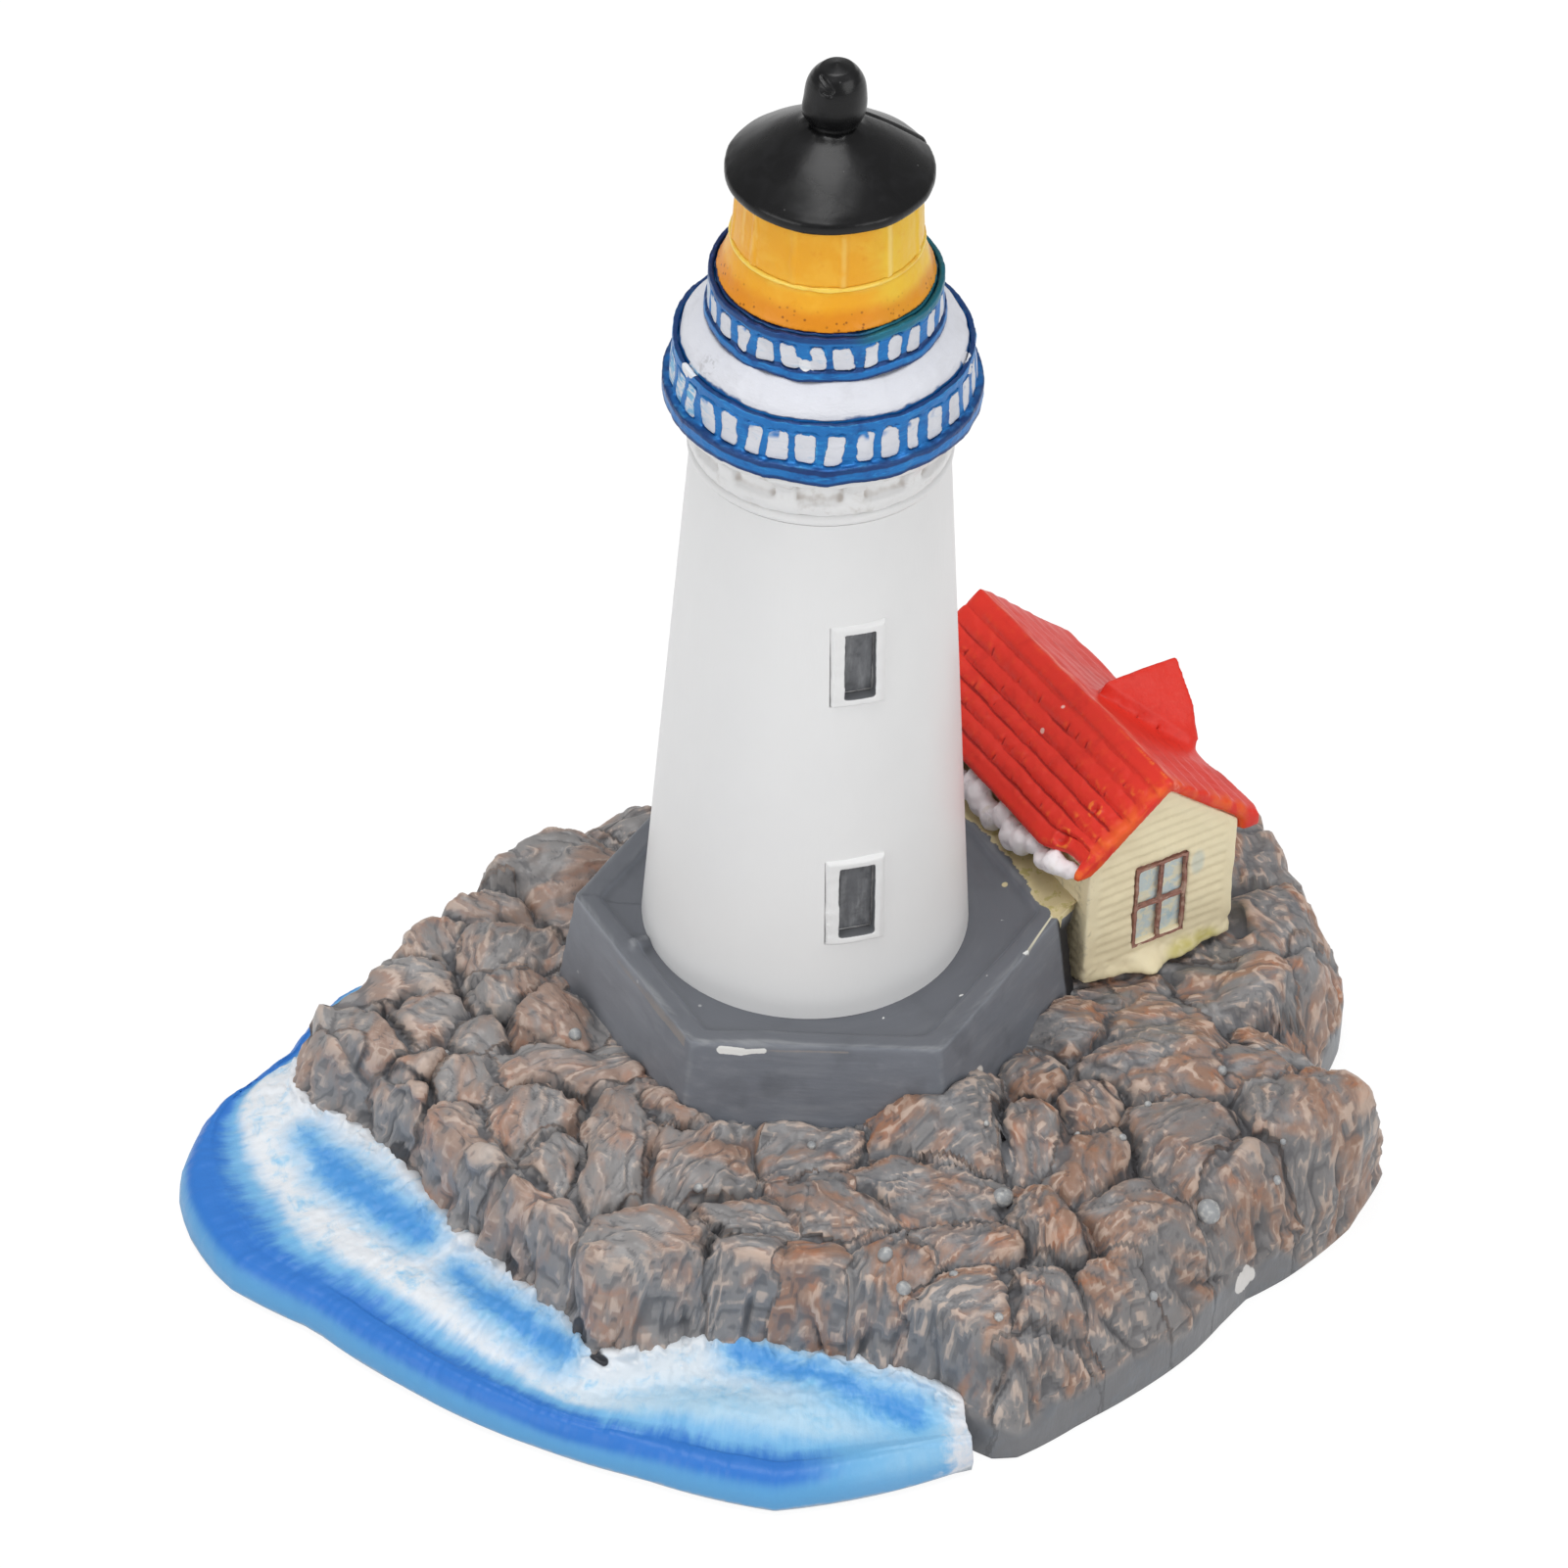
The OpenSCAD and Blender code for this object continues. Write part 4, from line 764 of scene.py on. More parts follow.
class FIGURINE_OT_sea(bpy.types.Operator):
    """Sculpts the sea plate with its swell, foam and brushed ripples"""
    bl_idname = "figurine.sea"
    bl_label = "Painted sea"

    def execute(self, context):
        swell = context.scene.figurine_sculpt.swell / MM
        turns, inner, outer, share = sea_grid()
        angle = np.radians(turns)[None, :]
        width = (outer - inner)[None, :]
        s = share[:, None]
        fall = np.interp(s, (0, 0.12, 0.3, 0.5, 0.7, 0.86, 1), (0, 0.25, 0.6, 0.72, 0.95, 0.85, 1))
        top = BAND_H + (SEA_RIM_H - BAND_H) * fall
        top = top + 0.25 * np.sin(np.radians(turns * 9)[None, :] + s * 8.5) * (s < 0.8)
        roll = np.clip(np.minimum(1.5, width / 3), 0.15, None)
        bow = np.sqrt(np.clip(1 - np.clip(1 - (1 - s) * width / roll, 0, 1) ** 2, 0, 1))
        z = top * bow + (1 - bow) * (SEA_RIM_H - roll - 0.9)
        radius = inner[None, :] + width * s
        sheet = np.stack([radius * np.cos(angle), radius * np.sin(angle), z], axis=-1)
        foot = sheet[-1:].copy()
        foot[..., 2] = 0
        foot[..., :2] *= ((outer - np.minimum(1.5, (outer - inner) / 3) / 3) / outer)[None, :, None]
        tuck = sheet[:1].copy()
        tuck[..., :2] *= ((inner - 1.3) / inner)[None, :, None]
        back = tuck.copy()
        back[..., 2] = 0
        loops = np.concatenate([back, tuck, sheet, foot]).transpose(1, 0, 2)
        piece = ringed_sheet("sea_plate", loops)
        points, normals = points_of(piece), normals_of(piece)
        turn, r = round_axis(points)
        turn = np.degrees(turn) % 360
        shore = np.interp(turn, turns, inner)
        rim = np.interp(turn, turns, outer)
        across = np.clip((r - shore) / (rim - shore), 0, 1)
        flow = np.stack([np.radians(turn) * 40, r - shore, points[:, 2]], axis=1)
        surface = ease((points[:, 2] - 1.2) / 1.5)
        strokes = hills(flow * (1 / 0.5, 1 / 3.2, 1 / 3), 1.0, 3)
        foam = hills(points, 0.8, 3) * ease((0.7 - across) / 0.4)
        near_shore = ease((1.6 - (r - shore)) / 1.4) * (r > shore - 1.0)
        spray = np.clip(hills(points + 15, 1.3, 3) + 0.12, 0, 1) * near_shore
        lift = ((0.55 * hills(points, 3.5, 2) + 0.6 * foam + 0.3 * strokes) * swell + 1.1 * spray) * surface
        pit = bell(from_line(points, *SEA_PIT), 0.35)
        pool = np.max([size - from_line(points, start, end) for start, end, size in POOLS], axis=0)
        set_points(piece, points + normals * (lift - 0.5 * pit)[:, None])
        keep(piece, "across", across)
        keep(piece, "pool", np.clip(pool, -4, 2))
        keep(piece, "pit", pit)
        keep_vector(piece, "flow", flow)
        keep_relief(piece, 6, 0.05, "crest")
        finish(piece, sea_paint(context.scene.figurine_paint), "sea_paint", "sea_apron")
        return {"FINISHED"}


def sea_paint(colours):
    """White and light blue dabbed near the shore, deep blue brushed outwards at the rim, blue pools, and
    near-black painted shade in the pit at the rocks' foot.
    """
    paint = Paint("sea_paint", 0.38, gloss=0.35)
    across = paint.kept("across")
    flow = paint.kept_vector("flow")
    strokes = paint.noise(1.0, 4, 0.6, paint.stretched(1.5, 0.3, 0.3, flow))
    clouds = paint.noise(5.5, 3, 0.55, bend=0.5)
    small = paint.noise(1.5, 4, 0.65, bend=0.5)
    fine = paint.noise(0.6, 3, 0.6, bend=0.4)
    x, height, crest = paint.part(0), paint.part(2), paint.kept("crest")
    end = (x + (small - 0.5) * 3 + (fine - 0.5) * 1.5 + (strokes - 0.5) * 1.5).step(10.8, 13.0)
    ragged = across + (strokes - 0.5) * 0.13 + (small - 0.5) * 0.08 + (clouds - 0.5) * 0.24
    deep = ragged.step(0.47, 0.84) * (1 - across.step(0.93, 1.0) * 0.45) * (1 - x.step(-2, 9) * 0.7)
    pool = paint.kept("pool") + (small - 0.5) * 2.6 + (strokes - 0.5) * 0.6
    pools, core = pool.step(-2.0, 0.7), pool.step(-0.2, 1.3)
    calm = x.step(-22, -6) * 0.8
    white = (clouds * 0.45 + small * 0.75 + strokes * 0.14 - 0.48 - across * 0.10).step(-0.08, 0.18)
    shoal = (1 - across.step(0.5, 0.85)) * white * (1 - calm * across.step(0.15, 0.45))
    ripples = (strokes * 0.4 + small * 0.6).step(0.35, 0.62) * (1 - calm * 0.5)
    froth = crest.step(0.8, 1.4) * (1 - across.step(0.6, 0.8)) * (1 - pools)
    colour = paint.layers((0.30, 0.56, 0.78),
                          ((0.47, 0.68, 0.82), ripples * 0.8),
                          ((0.77, 0.785, 0.81), shoal * 0.92),
                          ((0.22, 0.44, 0.60), calm * 0.26),
                          ((0.125, 0.43, 0.735), pools * 0.8),
                          ((0.040, 0.255, 0.65), core * 0.85),
                          (colours.sea_light, deep.step(0.05, 0.5) * 0.9),
                          (colours.sea_deep, (deep * (0.83 + strokes * 0.24)).step(0.42, 0.95) * 0.95),
                          ((0.085, 0.320, 0.62), across.step(0.93, 1.0) * 0.8),
                          ((0.80, 0.81, 0.83), froth * 0.4),
                          ((0.30, 0.36, 0.42), (fine + small * 0.5).step(0.98, 1.1) * (1 - deep) * 0.5),
                          ((0.72, 0.71, 0.73), end * (0.55 + small.step(0.3, 0.6) * 0.35)),
                          ((0.42, 0.47, 0.52), 1 - (height + (small - 0.5) * 0.5).step(0.45, 0.85)),
                          # Near-black painted shade in the pit at the rocks' foot.
                          ((0.045, 0.047, 0.055), paint.kept("pit").step(0.3, 0.6)))
    return paint.done(colour, 0.34 + small * 0.18, strokes * 0.6 + small * 0.8 + fine * 0.3, 0.06)


# Plinth

# White and brown marks on the plinth's top: start and end in x, y and for some z, and half their width
WHITE_MARKS = (((-6.0, -16.3, 18.1), (-4.4, -16.35, 18.0), 0.38),
               ((-4.4, -16.35, 18.0), (-2.8, -16.3, 18.15), 0.27),
               ((6.05, -12.2), (6.15, -12.0), 0.12), ((13.9, -7.75), (13.95, -7.7), 0.14),
               ((11.9, -9.5), (12.0, -9.4), 0.16), ((15.1, -0.6), (15.15, -0.5), 0.14),
               ((17.0, -4.8), (16.65, -5.2), 0.12))
BROWN_MARKS = (((-3.0, -16.3, 18.15), (3.5, -16.3, 18.2), 0.15), ((-14.2, -6.4), (-8.8, -15.5), 0.16))
# The ragged edge of the cream paint spilt over the plinth: place along the ridge, and out from the wall
SPILL = ((-1, 2), (0.3, 0.4), (0.86, -2.72), (1.95, -2.2), (3.4, -2.71), (5.9, -1.89), (8.4, -1.75),
         (10.6, -1.83), (13.8, -2.06), (20, -1.8), (24, 2))
# The plinth's edge beside the cottage: place along the ridge, and out from the wall
BESIDE = ((1.27, -1.19), (20.0, -0.54))
# The drip on the kerb, the slot of near-black painted shadow below its right corner, and the scratch's start
# and direction
DRIP = ((-12.9, -5.5), (-12.2, -4.4))
SLOT_SHADOW = ((19.85, 0, 18.8), (21.35, 0, 8))
SCRATCH_START = (18.9, -0.7)
SCRATCH_WAY = (-0.420, -0.907)


def plinth_inset(points):
    """Distance of each point inside the outline of the plinth's top."""
    corners = points_of(frame["nodes"]["plinth"])
    top = corners[corners[:, 2] > 18.7][:, :2]
    hull = top[geometry.convex_hull_2d([Vector(p) for p in top])]
    inset = np.full(len(points), np.inf)
    for a, b in zip(hull, np.roll(hull, -1, axis=0)):
        if np.linalg.norm(b - a) > 0.5:
            inward = np.array([a[1] - b[1], b[0] - a[0]]) / np.linalg.norm(b - a)
            inset = np.minimum(inset, (points[:, :2] - a) @ inward)
    return inset


class FIGURINE_OT_plinth(bpy.types.Operator):
    """Gives the plinth a soft kerb, brushed grey paint, chips and the cream spilt beside the cottage"""
    bl_idname = "figurine.plinth"
    bl_label = "Plinth"

    def execute(self, context):
        piece = cast_copy("plinth_casting", "plinth", voxel=0.24, rounds=8, wobble=0.09, size=5)
        points = points_of(piece)
        top = ease((points[:, 2] - 16.8) / 0.8)
        points = softened(piece, points, 20, ease((plinth_inset(points) - 0.3) / 0.6) * top * 0.7)
        along, back = cottage_place(points[:, 0], points[:, 1])
        gap = -0.02 - np.interp(back, *zip(*BESIDE))
        gap *= ease((along + gap + 1.0) / 0.9) * ease((back - 0.9) / 0.7) * (back < 22)
        gap *= ease((points[:, 2] - 16.6) / 1.0)
        points += np.outer(gap, GABLE_WAY)
        along = along + gap
        spill = (along - np.interp(back, *zip(*SPILL))) + 0.35 * hills(points * (1, 1, 0), 0.9, 3)
        under = ease(spill / 0.7) * (points[:, 2] > 17.3)
        cover = SPILL_H + 0.35 * ease(spill / 2) + 0.12 * hills(points, 0.8, 2)
        points[:, 2] += (cover - points[:, 2]) * under
        points[:, 2] += 0.5 * bell(from_line(points, *DRIP), 0.55) * top
        set_points(piece, points)
        keep_relief(piece, 12, 0.1)
        dx, dy = points[:, 0] - PLINTH_MIDDLE[0], points[:, 1] - PLINTH_MIDDLE[1]
        around = np.stack([np.arctan2(dy, dx) * 18, np.hypot(dx, dy), points[:, 2]], axis=1)
        keep_vector(piece, "round", around)
        keep(piece, "level", np.clip(normals_of(piece)[:, 2], 0, 1))
        keep(piece, "spill", np.where(points[:, 2] > 17.4, spill, -3))
        # The slot beside the cottage's corner gets near-black painted shadow.
        dark = 1.35 - from_line(points, *SLOT_SHADOW)
        keep(piece, "slot", ease(dark / 0.25) * ease((18.6 - points[:, 2]) / 0.3) * (points[:, 1] < 0.5))
        for name, marks in (("white", WHITE_MARKS), ("brown", BROWN_MARKS)):
            near = [size - from_line(points, a, b) for a, b, size in marks]
            keep(piece, name, np.where(points[:, 2] > 17.6, np.max(near, axis=0), -3))
        finish(piece, plinth_paint(context.scene.figurine_paint), "plinth_grey", "plinth")
        return {"FINISHED"}


def plinth_paint(colours):
    """Grey paint with brush marks along the walls, a darker floor, rubbed edges, painted shade in the
    creases, a near-black painted shadow in the slot beside the cottage, chips and spilt cream.
    """
    paint = Paint("plinth_paint", 0.42, gloss=0.35)
    edge, around, level = paint.kept("edge"), paint.kept_vector("round"), paint.kept("level")
    brush = paint.noise(1.0, 4, 0.6, paint.stretched(0.14, 1.2, 1.2, around))
    cloud = paint.noise(4, 3, 0.6)
    fray = (paint.noise(0.5, 3, 0.6) - 0.5) * 0.3
    chip = paint.spot(*PLINTH_CHIP)
    specks = 1 - paint.specks(3.1).step(0.03, 0.06)
    spill = (paint.kept("spill") + fray * 1.6).step(-0.02, 0.1)
    spill = spill.higher(paint.spots(*SPILL_DROPS))
    left = (-paint.part(0)).step(8, 14) * (1 - level.step(0.3, 0.8))
    dx, dy = paint.part(0) - SCRATCH_START[0], paint.part(1) - SCRATCH_START[1]
    sideways = dy * SCRATCH_WAY[0] - dx * SCRATCH_WAY[1]
    down = dx * SCRATCH_WAY[0] + dy * SCRATCH_WAY[1]
    scratch = (1 - sideways.higher(-sideways).step(0.05, 0.1)) * level
    scratch = scratch * down.step(0.0, 0.1) * (1 - down.step(4.4, 4.6))
    green = spill * paint.noise(0.8, 3, 0.6).step(0.56, 0.66)
    colour = paint.layers(colours.plinth,
                          ((0.245, 0.258, 0.285), brush.step(0.45, 0.75) * 0.55),
                          ((0.115, 0.125, 0.145), cloud.step(0.5, 0.75) * 0.5),
                          ((0.28, 0.295, 0.33), left * 0.6),
                          ((0.110, 0.115, 0.128), level.step(0.5, 0.9) * 0.66),
                          ((0.34, 0.35, 0.36), edge.step(0.35, 1.2) * brush.step(0.3, 0.7) * 0.45),
                          # Darker paint in the creases is painted shade.
                          ((0.06, 0.065, 0.075), (-edge).step(0.4, 1.4) * 0.6),
                          ((0.30, 0.27, 0.25), (paint.kept("brown") + fray * 0.5).step(0.0, 0.12) * 0.7),
                          # Near-black painted shadow in the slot beside the cottage.
                          ((0.012, 0.012, 0.014), paint.kept("slot") * 0.95),
                          ((0.62, 0.53, 0.31), spill), ((0.42, 0.37, 0.12), green * 0.7),
                          ((0.70, 0.66, 0.50), scratch * 0.9),
                          ((0.80, 0.80, 0.78), (paint.kept("white") + fray * 0.45).step(0.0, 0.06)),
                          ((0.74, 0.70, 0.66), chip), ((0.6, 0.6, 0.6), specks * 0.5))
    return paint.done(colour, 0.36 + brush * 0.16, brush + cloud * 0.5, 0.05)


# Tower, its windows and the white rings above it

def white_paint(name, colours, stain=0.0, lines=None, reveal=False):
    """Satin white paint with faint brush marks, grey-brown painted shade in smudges and in the hollows, and
    grey in a window's reveal.
    """
    paint = Paint(name, 0.36, gloss=0.4)
    brush = paint.noise(1.4, 4, 0.6, paint.stretched(1, 1, 0.25))
    cloud = paint.noise(6, 3, 0.5)
    # Grey-brown smudges, as much as stain asks for, are painted shade for the corbels' bays.
    shade_smudges = paint.noise(1.9, 4, 0.65, bend=0.5).step(0.5, 0.8) * stain
    layers = [((0.75, 0.75, 0.755), cloud.step(0.4, 0.75) * 0.25), ((0.56, 0.53, 0.50), shade_smudges)]
    # Darker paint in the hollows, as much as lines asks for, is painted shade.
    if lines:
        layers += [((0.48, 0.44, 0.41), (-paint.kept("edge")).step(0.1, 0.9) * lines)]
    if reveal:
        layers += [((0.135, 0.14, 0.15), paint.kept("inner"))]
    colour = paint.layers(colours.tower, *layers)
    return paint.done(colour, 0.34 + brush * 0.12, brush + cloud, 0.035)


class FIGURINE_OT_tower(bpy.types.Operator):
    """Paints the tower white and gives its windows soft frames"""
    bl_idname = "figurine.tower"
    bl_label = "Tower and windows"

    def execute(self, context):
        colours = context.scene.figurine_paint
        repaint(frame["nodes"]["tower"], white_paint("tower_paint", colours))
        reveal = white_paint("surround_paint", colours, reveal=True)
        for level in ("lower", "upper"):
            low, high = (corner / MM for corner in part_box(f"{level}_window_pane"))
            middle, half = (low + high) / 2, (high - low) / 2
            piece = cast_copy(f"{level}_window_surround", f"{level}_window_frame", voxel=0.07, rounds=16,
                              wobble=0.05, size=1.5)
            points, facing = points_of(piece), -normals_of(piece)[:, 1]
            beyond = np.maximum(np.abs(points[:, 0] - middle.x) - half.x,
                                np.abs(points[:, 2] - middle.z) - half.z)
            keep(piece, "inner", (1 - ease((facing - 0.5) / 0.25)) * (beyond < 0.4))
            rim = np.minimum.reduce([points[:, 0] - points[:, 0].min(), points[:, 0].max() - points[:, 0],
                                     points[:, 2] - points[:, 2].min(), points[:, 2].max() - points[:, 2]])
            points[:, 1] += 0.22 * (1 - ease(rim / 0.35))
            points[:, [0, 2]] += (points[:, [0, 2]] - (middle.x, middle.z)) * 0.045
            set_points(piece, moved_window(points, points[:, 0].min()))
            finish(piece, reveal, "tower_white", f"{level}_window_frame")
            pane = cast_copy(f"{level}_window_recess", f"{level}_window_pane", voxel=0.05, rounds=3,
                             wobble=0.03, size=0.8)
            set_points(pane, moved_window(points_of(pane), low.x - 0.8))
            finish(pane, recess_paint(), "window_grey", f"{level}_window_pane")
        return {"FINISHED"}


def moved_window(points, left):
    """Points of a tower window moved to the right, apart from its left edge, which stays in its pocket."""
    shift = 0.33 * ease((points[:, 0] - left) / 0.6)
    return points + np.outer(shift, (1, 0.3, 0))


def recess_paint():
    """Dark grey paint of the window recesses, with strokes down their length."""
    paint = Paint("recess_paint", 0.4)
    strokes = paint.noise(0.5, 4, 0.6, paint.stretched(1, 1, 0.2))
    colour = paint.layers((0.12, 0.125, 0.135), ((0.22, 0.225, 0.235), strokes.step(0.4, 0.75)),
                          ((0.045, 0.047, 0.052), paint.noise(1.2, 3).step(0.5, 0.75) * 0.7))
    return paint.done(colour, 0.36 + strokes * 0.2, strokes, 0.05)


class FIGURINE_OT_corbels(bpy.types.Operator):
    """Softens the corbel ring and paints its shaded bays"""
    bl_idname = "figurine.corbels"
    bl_label = "Corbel ring"

    def execute(self, context):
        piece = cast_copy("corbel_casting", "corbel_ring", voxel=0.15, rounds=14, wobble=0.08, size=1.4)
        keep_relief(piece, 14, 0.12)
        # The corbels get the smudged painted shade and the painted shade in their hollows at full strength.
        finish(piece, white_paint("corbel_paint", context.scene.figurine_paint, 1.0, 1.0),
               "tower_white", "corbel_ring")
        return {"FINISHED"}


# Railings and the walls behind them

RAILS = {
    "gallery": {"posts": 34, "post": 0.62, "foot": 1.5, "top": 0.85, "voxel": 0.105, "rim": 10.3},
    "watch": {"posts": 27, "post": 0.62, "foot": 0.9, "top": 0.85, "voxel": 0.09, "rim": 7.0},
}
# White paint dabbed over the blue: place and radius
DABS = {
    "gallery": ((-9.7, -4.6, 73.1, 0.45), (-9.3, -5.2, 73.2, 0.3), (9.7, -2.6, 73.4, 0.5),
                (9.95, -2.3, 72.9, 0.5), (10.2, -2.9, 72.6, 0.35)),
    "watch": ((-1.9, -8.3, 76.75, 0.3), (-1.3, -8.4, 76.6, 0.32), (-0.7, -8.45, 76.65, 0.28)),
}


def lattice_marks(piece, name):
    """Keeps how deep each point lies in a gap of the railing; gives its height in the gap."""
    rail = RAILS[name]
    low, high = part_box(f"{name}_railing")
    points = points_of(piece)
    turn, radius = round_axis(points)
    turn = np.degrees(turn) % (360 / rail["posts"])
    pitch = 2 * math.pi * (high.x - low.x) / 2 / MM / rail["posts"]
    side = (turn / (360 / rail["posts"]) - 0.5) * pitch
    beside = np.abs(side) - rail["post"] / 2
    above = np.minimum(points[:, 2] - low.z / MM - rail["foot"], high.z / MM - rail["top"] - points[:, 2])
    corner = 0.4 - np.hypot(np.maximum(0.4 - beside, 0), np.maximum(0.4 - above, 0))
    gap = np.where((beside < 0.4) & (above < 0.4), corner, np.minimum(beside, above))
    keep(piece, "gap", gap)
    keep(piece, "left", np.clip(side / 0.4, 0, 1) * (side < pitch / 2))
    keep(piece, "out", radius)
    keep(piece, "up", (points[:, 2] - low.z / MM) / ((high.z - low.z) / MM))
    keep_relief(piece, 8, 0.06)
    keep(piece, "level", normals_of(piece)[:, 2])
    return above


def hand_sway(piece, name, swell):
    """Swells the white patches out and shifts the posts sideways, alike on a railing and its wall."""
    points = points_of(piece)
    turn, radius = round_axis(points)
    ring = np.stack([np.cos(turn) * 9, np.sin(turn) * 9, points[:, 2] * 0.45 + RAILS[name]["posts"]], axis=1)
    turn = turn + 0.42 * hills(ring, 1.7, 2) / radius
    radius = radius + swell * (1 + 0.2 * hills(ring + 30, 1.1, 2)) + 0.04 * hills(ring + 60, 2.0, 2)
    lift = 0.20 * hills(ring + 90, 2.2, 2)
    set_points(piece, np.stack([radius * np.cos(turn), radius * np.sin(turn), points[:, 2] + lift], axis=1))


def rail_paint(name, colours, wall=False):
    """Metallic blue over navy, with brush streaks that also stand in for reflections, painted highlights on
    the edges, painted shade in the hollows, low on the foot and in some gaps' corners, and thick white dabbed
    into the gaps.
    """
    paint = Paint(f"{name}_{'wall' if wall else 'rail'}_paint", 0.32, gloss=0.35)
    gap, up, edge, level = (paint.kept(key) for key in ("gap", "up", "edge", "level"))
    x = paint.part(0)
    dabs = paint.noise(1.1, 3, 0.6, bend=0.8)
    brush = paint.noise(0.7, 4, 0.6, paint.stretched(0.6, 0.6, 2.2), 0.6)
    patch = paint.noise(1.9, 3, 0.6)
    navy = (0.012, 0.030, 0.13)
    blue = paint.layers(colours.rail,
                        # The darker patches and lighter streaks are brush marks that also stand in for the
                        # metallic paint's reflections.
                        ((0.011, 0.070, 0.27), patch.step(0.5, 0.72) * 0.7),
                        ((0.030, 0.300, 0.68), brush.step(0.50, 0.72) * 0.65),
                        # Cyan on raised edges is painted highlight; near-black in the hollows is painted
                        # shade.
                        ((0.12, 0.52, 0.82), edge.step(0.3, 1.1) * brush.step(0.42, 0.6) * 0.85),
                        ((0.010, 0.020, 0.075), (-edge).step(0.3, 1.2) * 0.75))
    # Navy low on the foot and at its ledge is painted shade under the rounded roll; navy on the top faces is
    # the rail's own paint.
    foot = up + (patch - 0.5) * 0.06
    dark = (1 - foot.step(0.06, 0.11)).higher(foot.step(0.20, 0.23) * (1 - foot.step(0.29, 0.32)))
    dark = dark.higher(level.step(0.5, 0.75) * up.step(0.8, 0.95))
    blue = paint.layers(blue, (navy, dark * 0.85))
    if name == "watch":
        blue = paint.layers(blue, (navy, up.step(0.84, 0.9) * 0.75),
                            ((0.012, 0.20, 0.22), x.step(1.5, 4) * up.step(0.76, 0.86) * 0.6))
    white = (gap - 0.04 + (dabs - 0.5) * 0.45).step(0.0, 0.07)
    over = paint.spots(*((*dab, 0.3) for dab in DABS[name]))
    over = (over + (dabs - 0.5) * 1.1).step(0.45, 0.58)
    if wall:
        rim = RAILS[name]["rim"]
        inside = 1 - (paint.kept("out") + (patch - 0.5) * 0.5).step(rim, rim + 0.12)
        deck = (up + (dabs - 0.5) * 0.03).step(1.0, 1.02) * inside
        smudge = paint.noise(2.6, 4, 0.6, bend=0.6).step(0.52, 0.78) * 0.4
        mark = paint.spot(*DECK_MARK) * paint.noise(0.7, 4, 0.65, bend=1.5).step(0.46, 0.6)
        # Blue left in the upper left corner of some gaps is painted shadow.
        corner = paint.kept("left") * up.step(0.66, 0.76) * paint.noise(2.4, 2, 0.5).step(0.48, 0.56)
        streaks = (-x).step(7.6, 9.4) * brush.step(0.42, 0.58)
        white = (white * (1 - corner * 0.95)).higher(deck)
        base = paint.layers((0.68, 0.69, 0.74), ((0.54, 0.54, 0.57), smudge),
                            ((0.45, 0.45, 0.47), mark * 0.7),
                            ((0.28, 0.50, 0.70), (1 - deck) * brush.step(0.56, 0.75) * 0.45),
                            ((0.12, 0.42, 0.68), (1 - deck) * streaks * 0.9))
    else:
        base = paint.layers((0.76, 0.77, 0.80), ((0.35, 0.52, 0.68), brush.step(0.5, 0.8) * 0.4))
        white = white * (1 - level.step(0.5, 0.8))
    white = white.higher(over)
    colour = paint.layers(blue, (base, white))
    return paint.done(colour, 0.30 + brush * 0.16 + white * 0.12, brush * 1.3 + white * 1.2, 0.06,
                      metallic=(1 - white) * 0.4)


class FIGURINE_OT_railings(bpy.types.Operator):
    """Models both railings and their walls as soft painted relief, the walls swelled out into the gaps and
    both swayed alike
    """
    bl_idname = "figurine.railings"
    bl_label = "Railings and walls"

    def execute(self, context):
        colours = context.scene.figurine_paint
        wobble = context.scene.figurine_sculpt.wobble / MM
        for name, rail in RAILS.items():
            piece = cast_copy(f"{name}_balustrade", f"{name}_railing", voxel=rail["voxel"], rounds=9,
                              wobble=wobble, size=1.1)
            lattice_marks(piece, name)
            hand_sway(piece, name, 0)
            finish(piece, rail_paint(name, colours), "rail_blue", f"{name}_railing")
            wall = cast_copy(f"{name}_wall", f"{name}_drum", voxel=0.14, rounds=4, wobble=wobble, size=2)
            above = lattice_marks(wall, name)
            hand_sway(wall, name, 0.43 * ease((above + 0.12) / 0.16))
            finish(wall, rail_paint(name, colours, wall=True), "tower_white", f"{name}_drum")
        return {"FINISHED"}


# Lantern and roof

def amber_paint(name, colours, bars=False):
    """Satin amber with yellower patches, dark specks low down and, on the glazing, pale bar lines."""
    paint = Paint(name, 0.32, gloss=0.25)
    cloud = paint.noise(3, 3, 0.6, bend=0.4)
    down = paint.noise(0.9, 3, 0.6, paint.stretched(1, 1, 0.2))
    specks = (1 - paint.specks(0.45).step(0.12, 0.3)) * paint.noise(1.6, 3).step(0.44, 0.55)
    x, height = paint.part(0), paint.part(2)
    layers = [((0.90, 0.50, 0.05), cloud.step(0.45, 0.7) * 0.55),
              ((0.86, 0.62, 0.05), (x + cloud * 5).step(4.5, 8) * 0.6),
              ((0.78, 0.25, 0.010), paint.noise(1.1, 4, 0.6).step(0.55, 0.8) * 0.45)]
    if bars:
        layers += [((0.93, 0.68, 0.20), paint.kept("bar") * paint.noise(1.5, 2).step(0.3, 0.5) * 0.75),
                   ((0.93, 0.62, 0.16), (-x).step(0.5, 5) * down.step(0.55, 0.7) * 0.45)]
    else:
        low = 1 - (height + cloud * 1.1).step(80.4, 81.5)
        layers += [((0.72, 0.22, 0.010), low * 0.7), ((0.30, 0.09, 0.01), specks * low * 0.9),
                   ((0.92, 0.60, 0.06), (height + cloud * 0.4).step(81.6, 82.2) * 0.5)]
    colour = paint.layers(colours.amber, *layers)
    return paint.done(colour, 0.28 + cloud * 0.14, cloud + paint.noise(0.7, 3) + down * 0.5, 0.05)


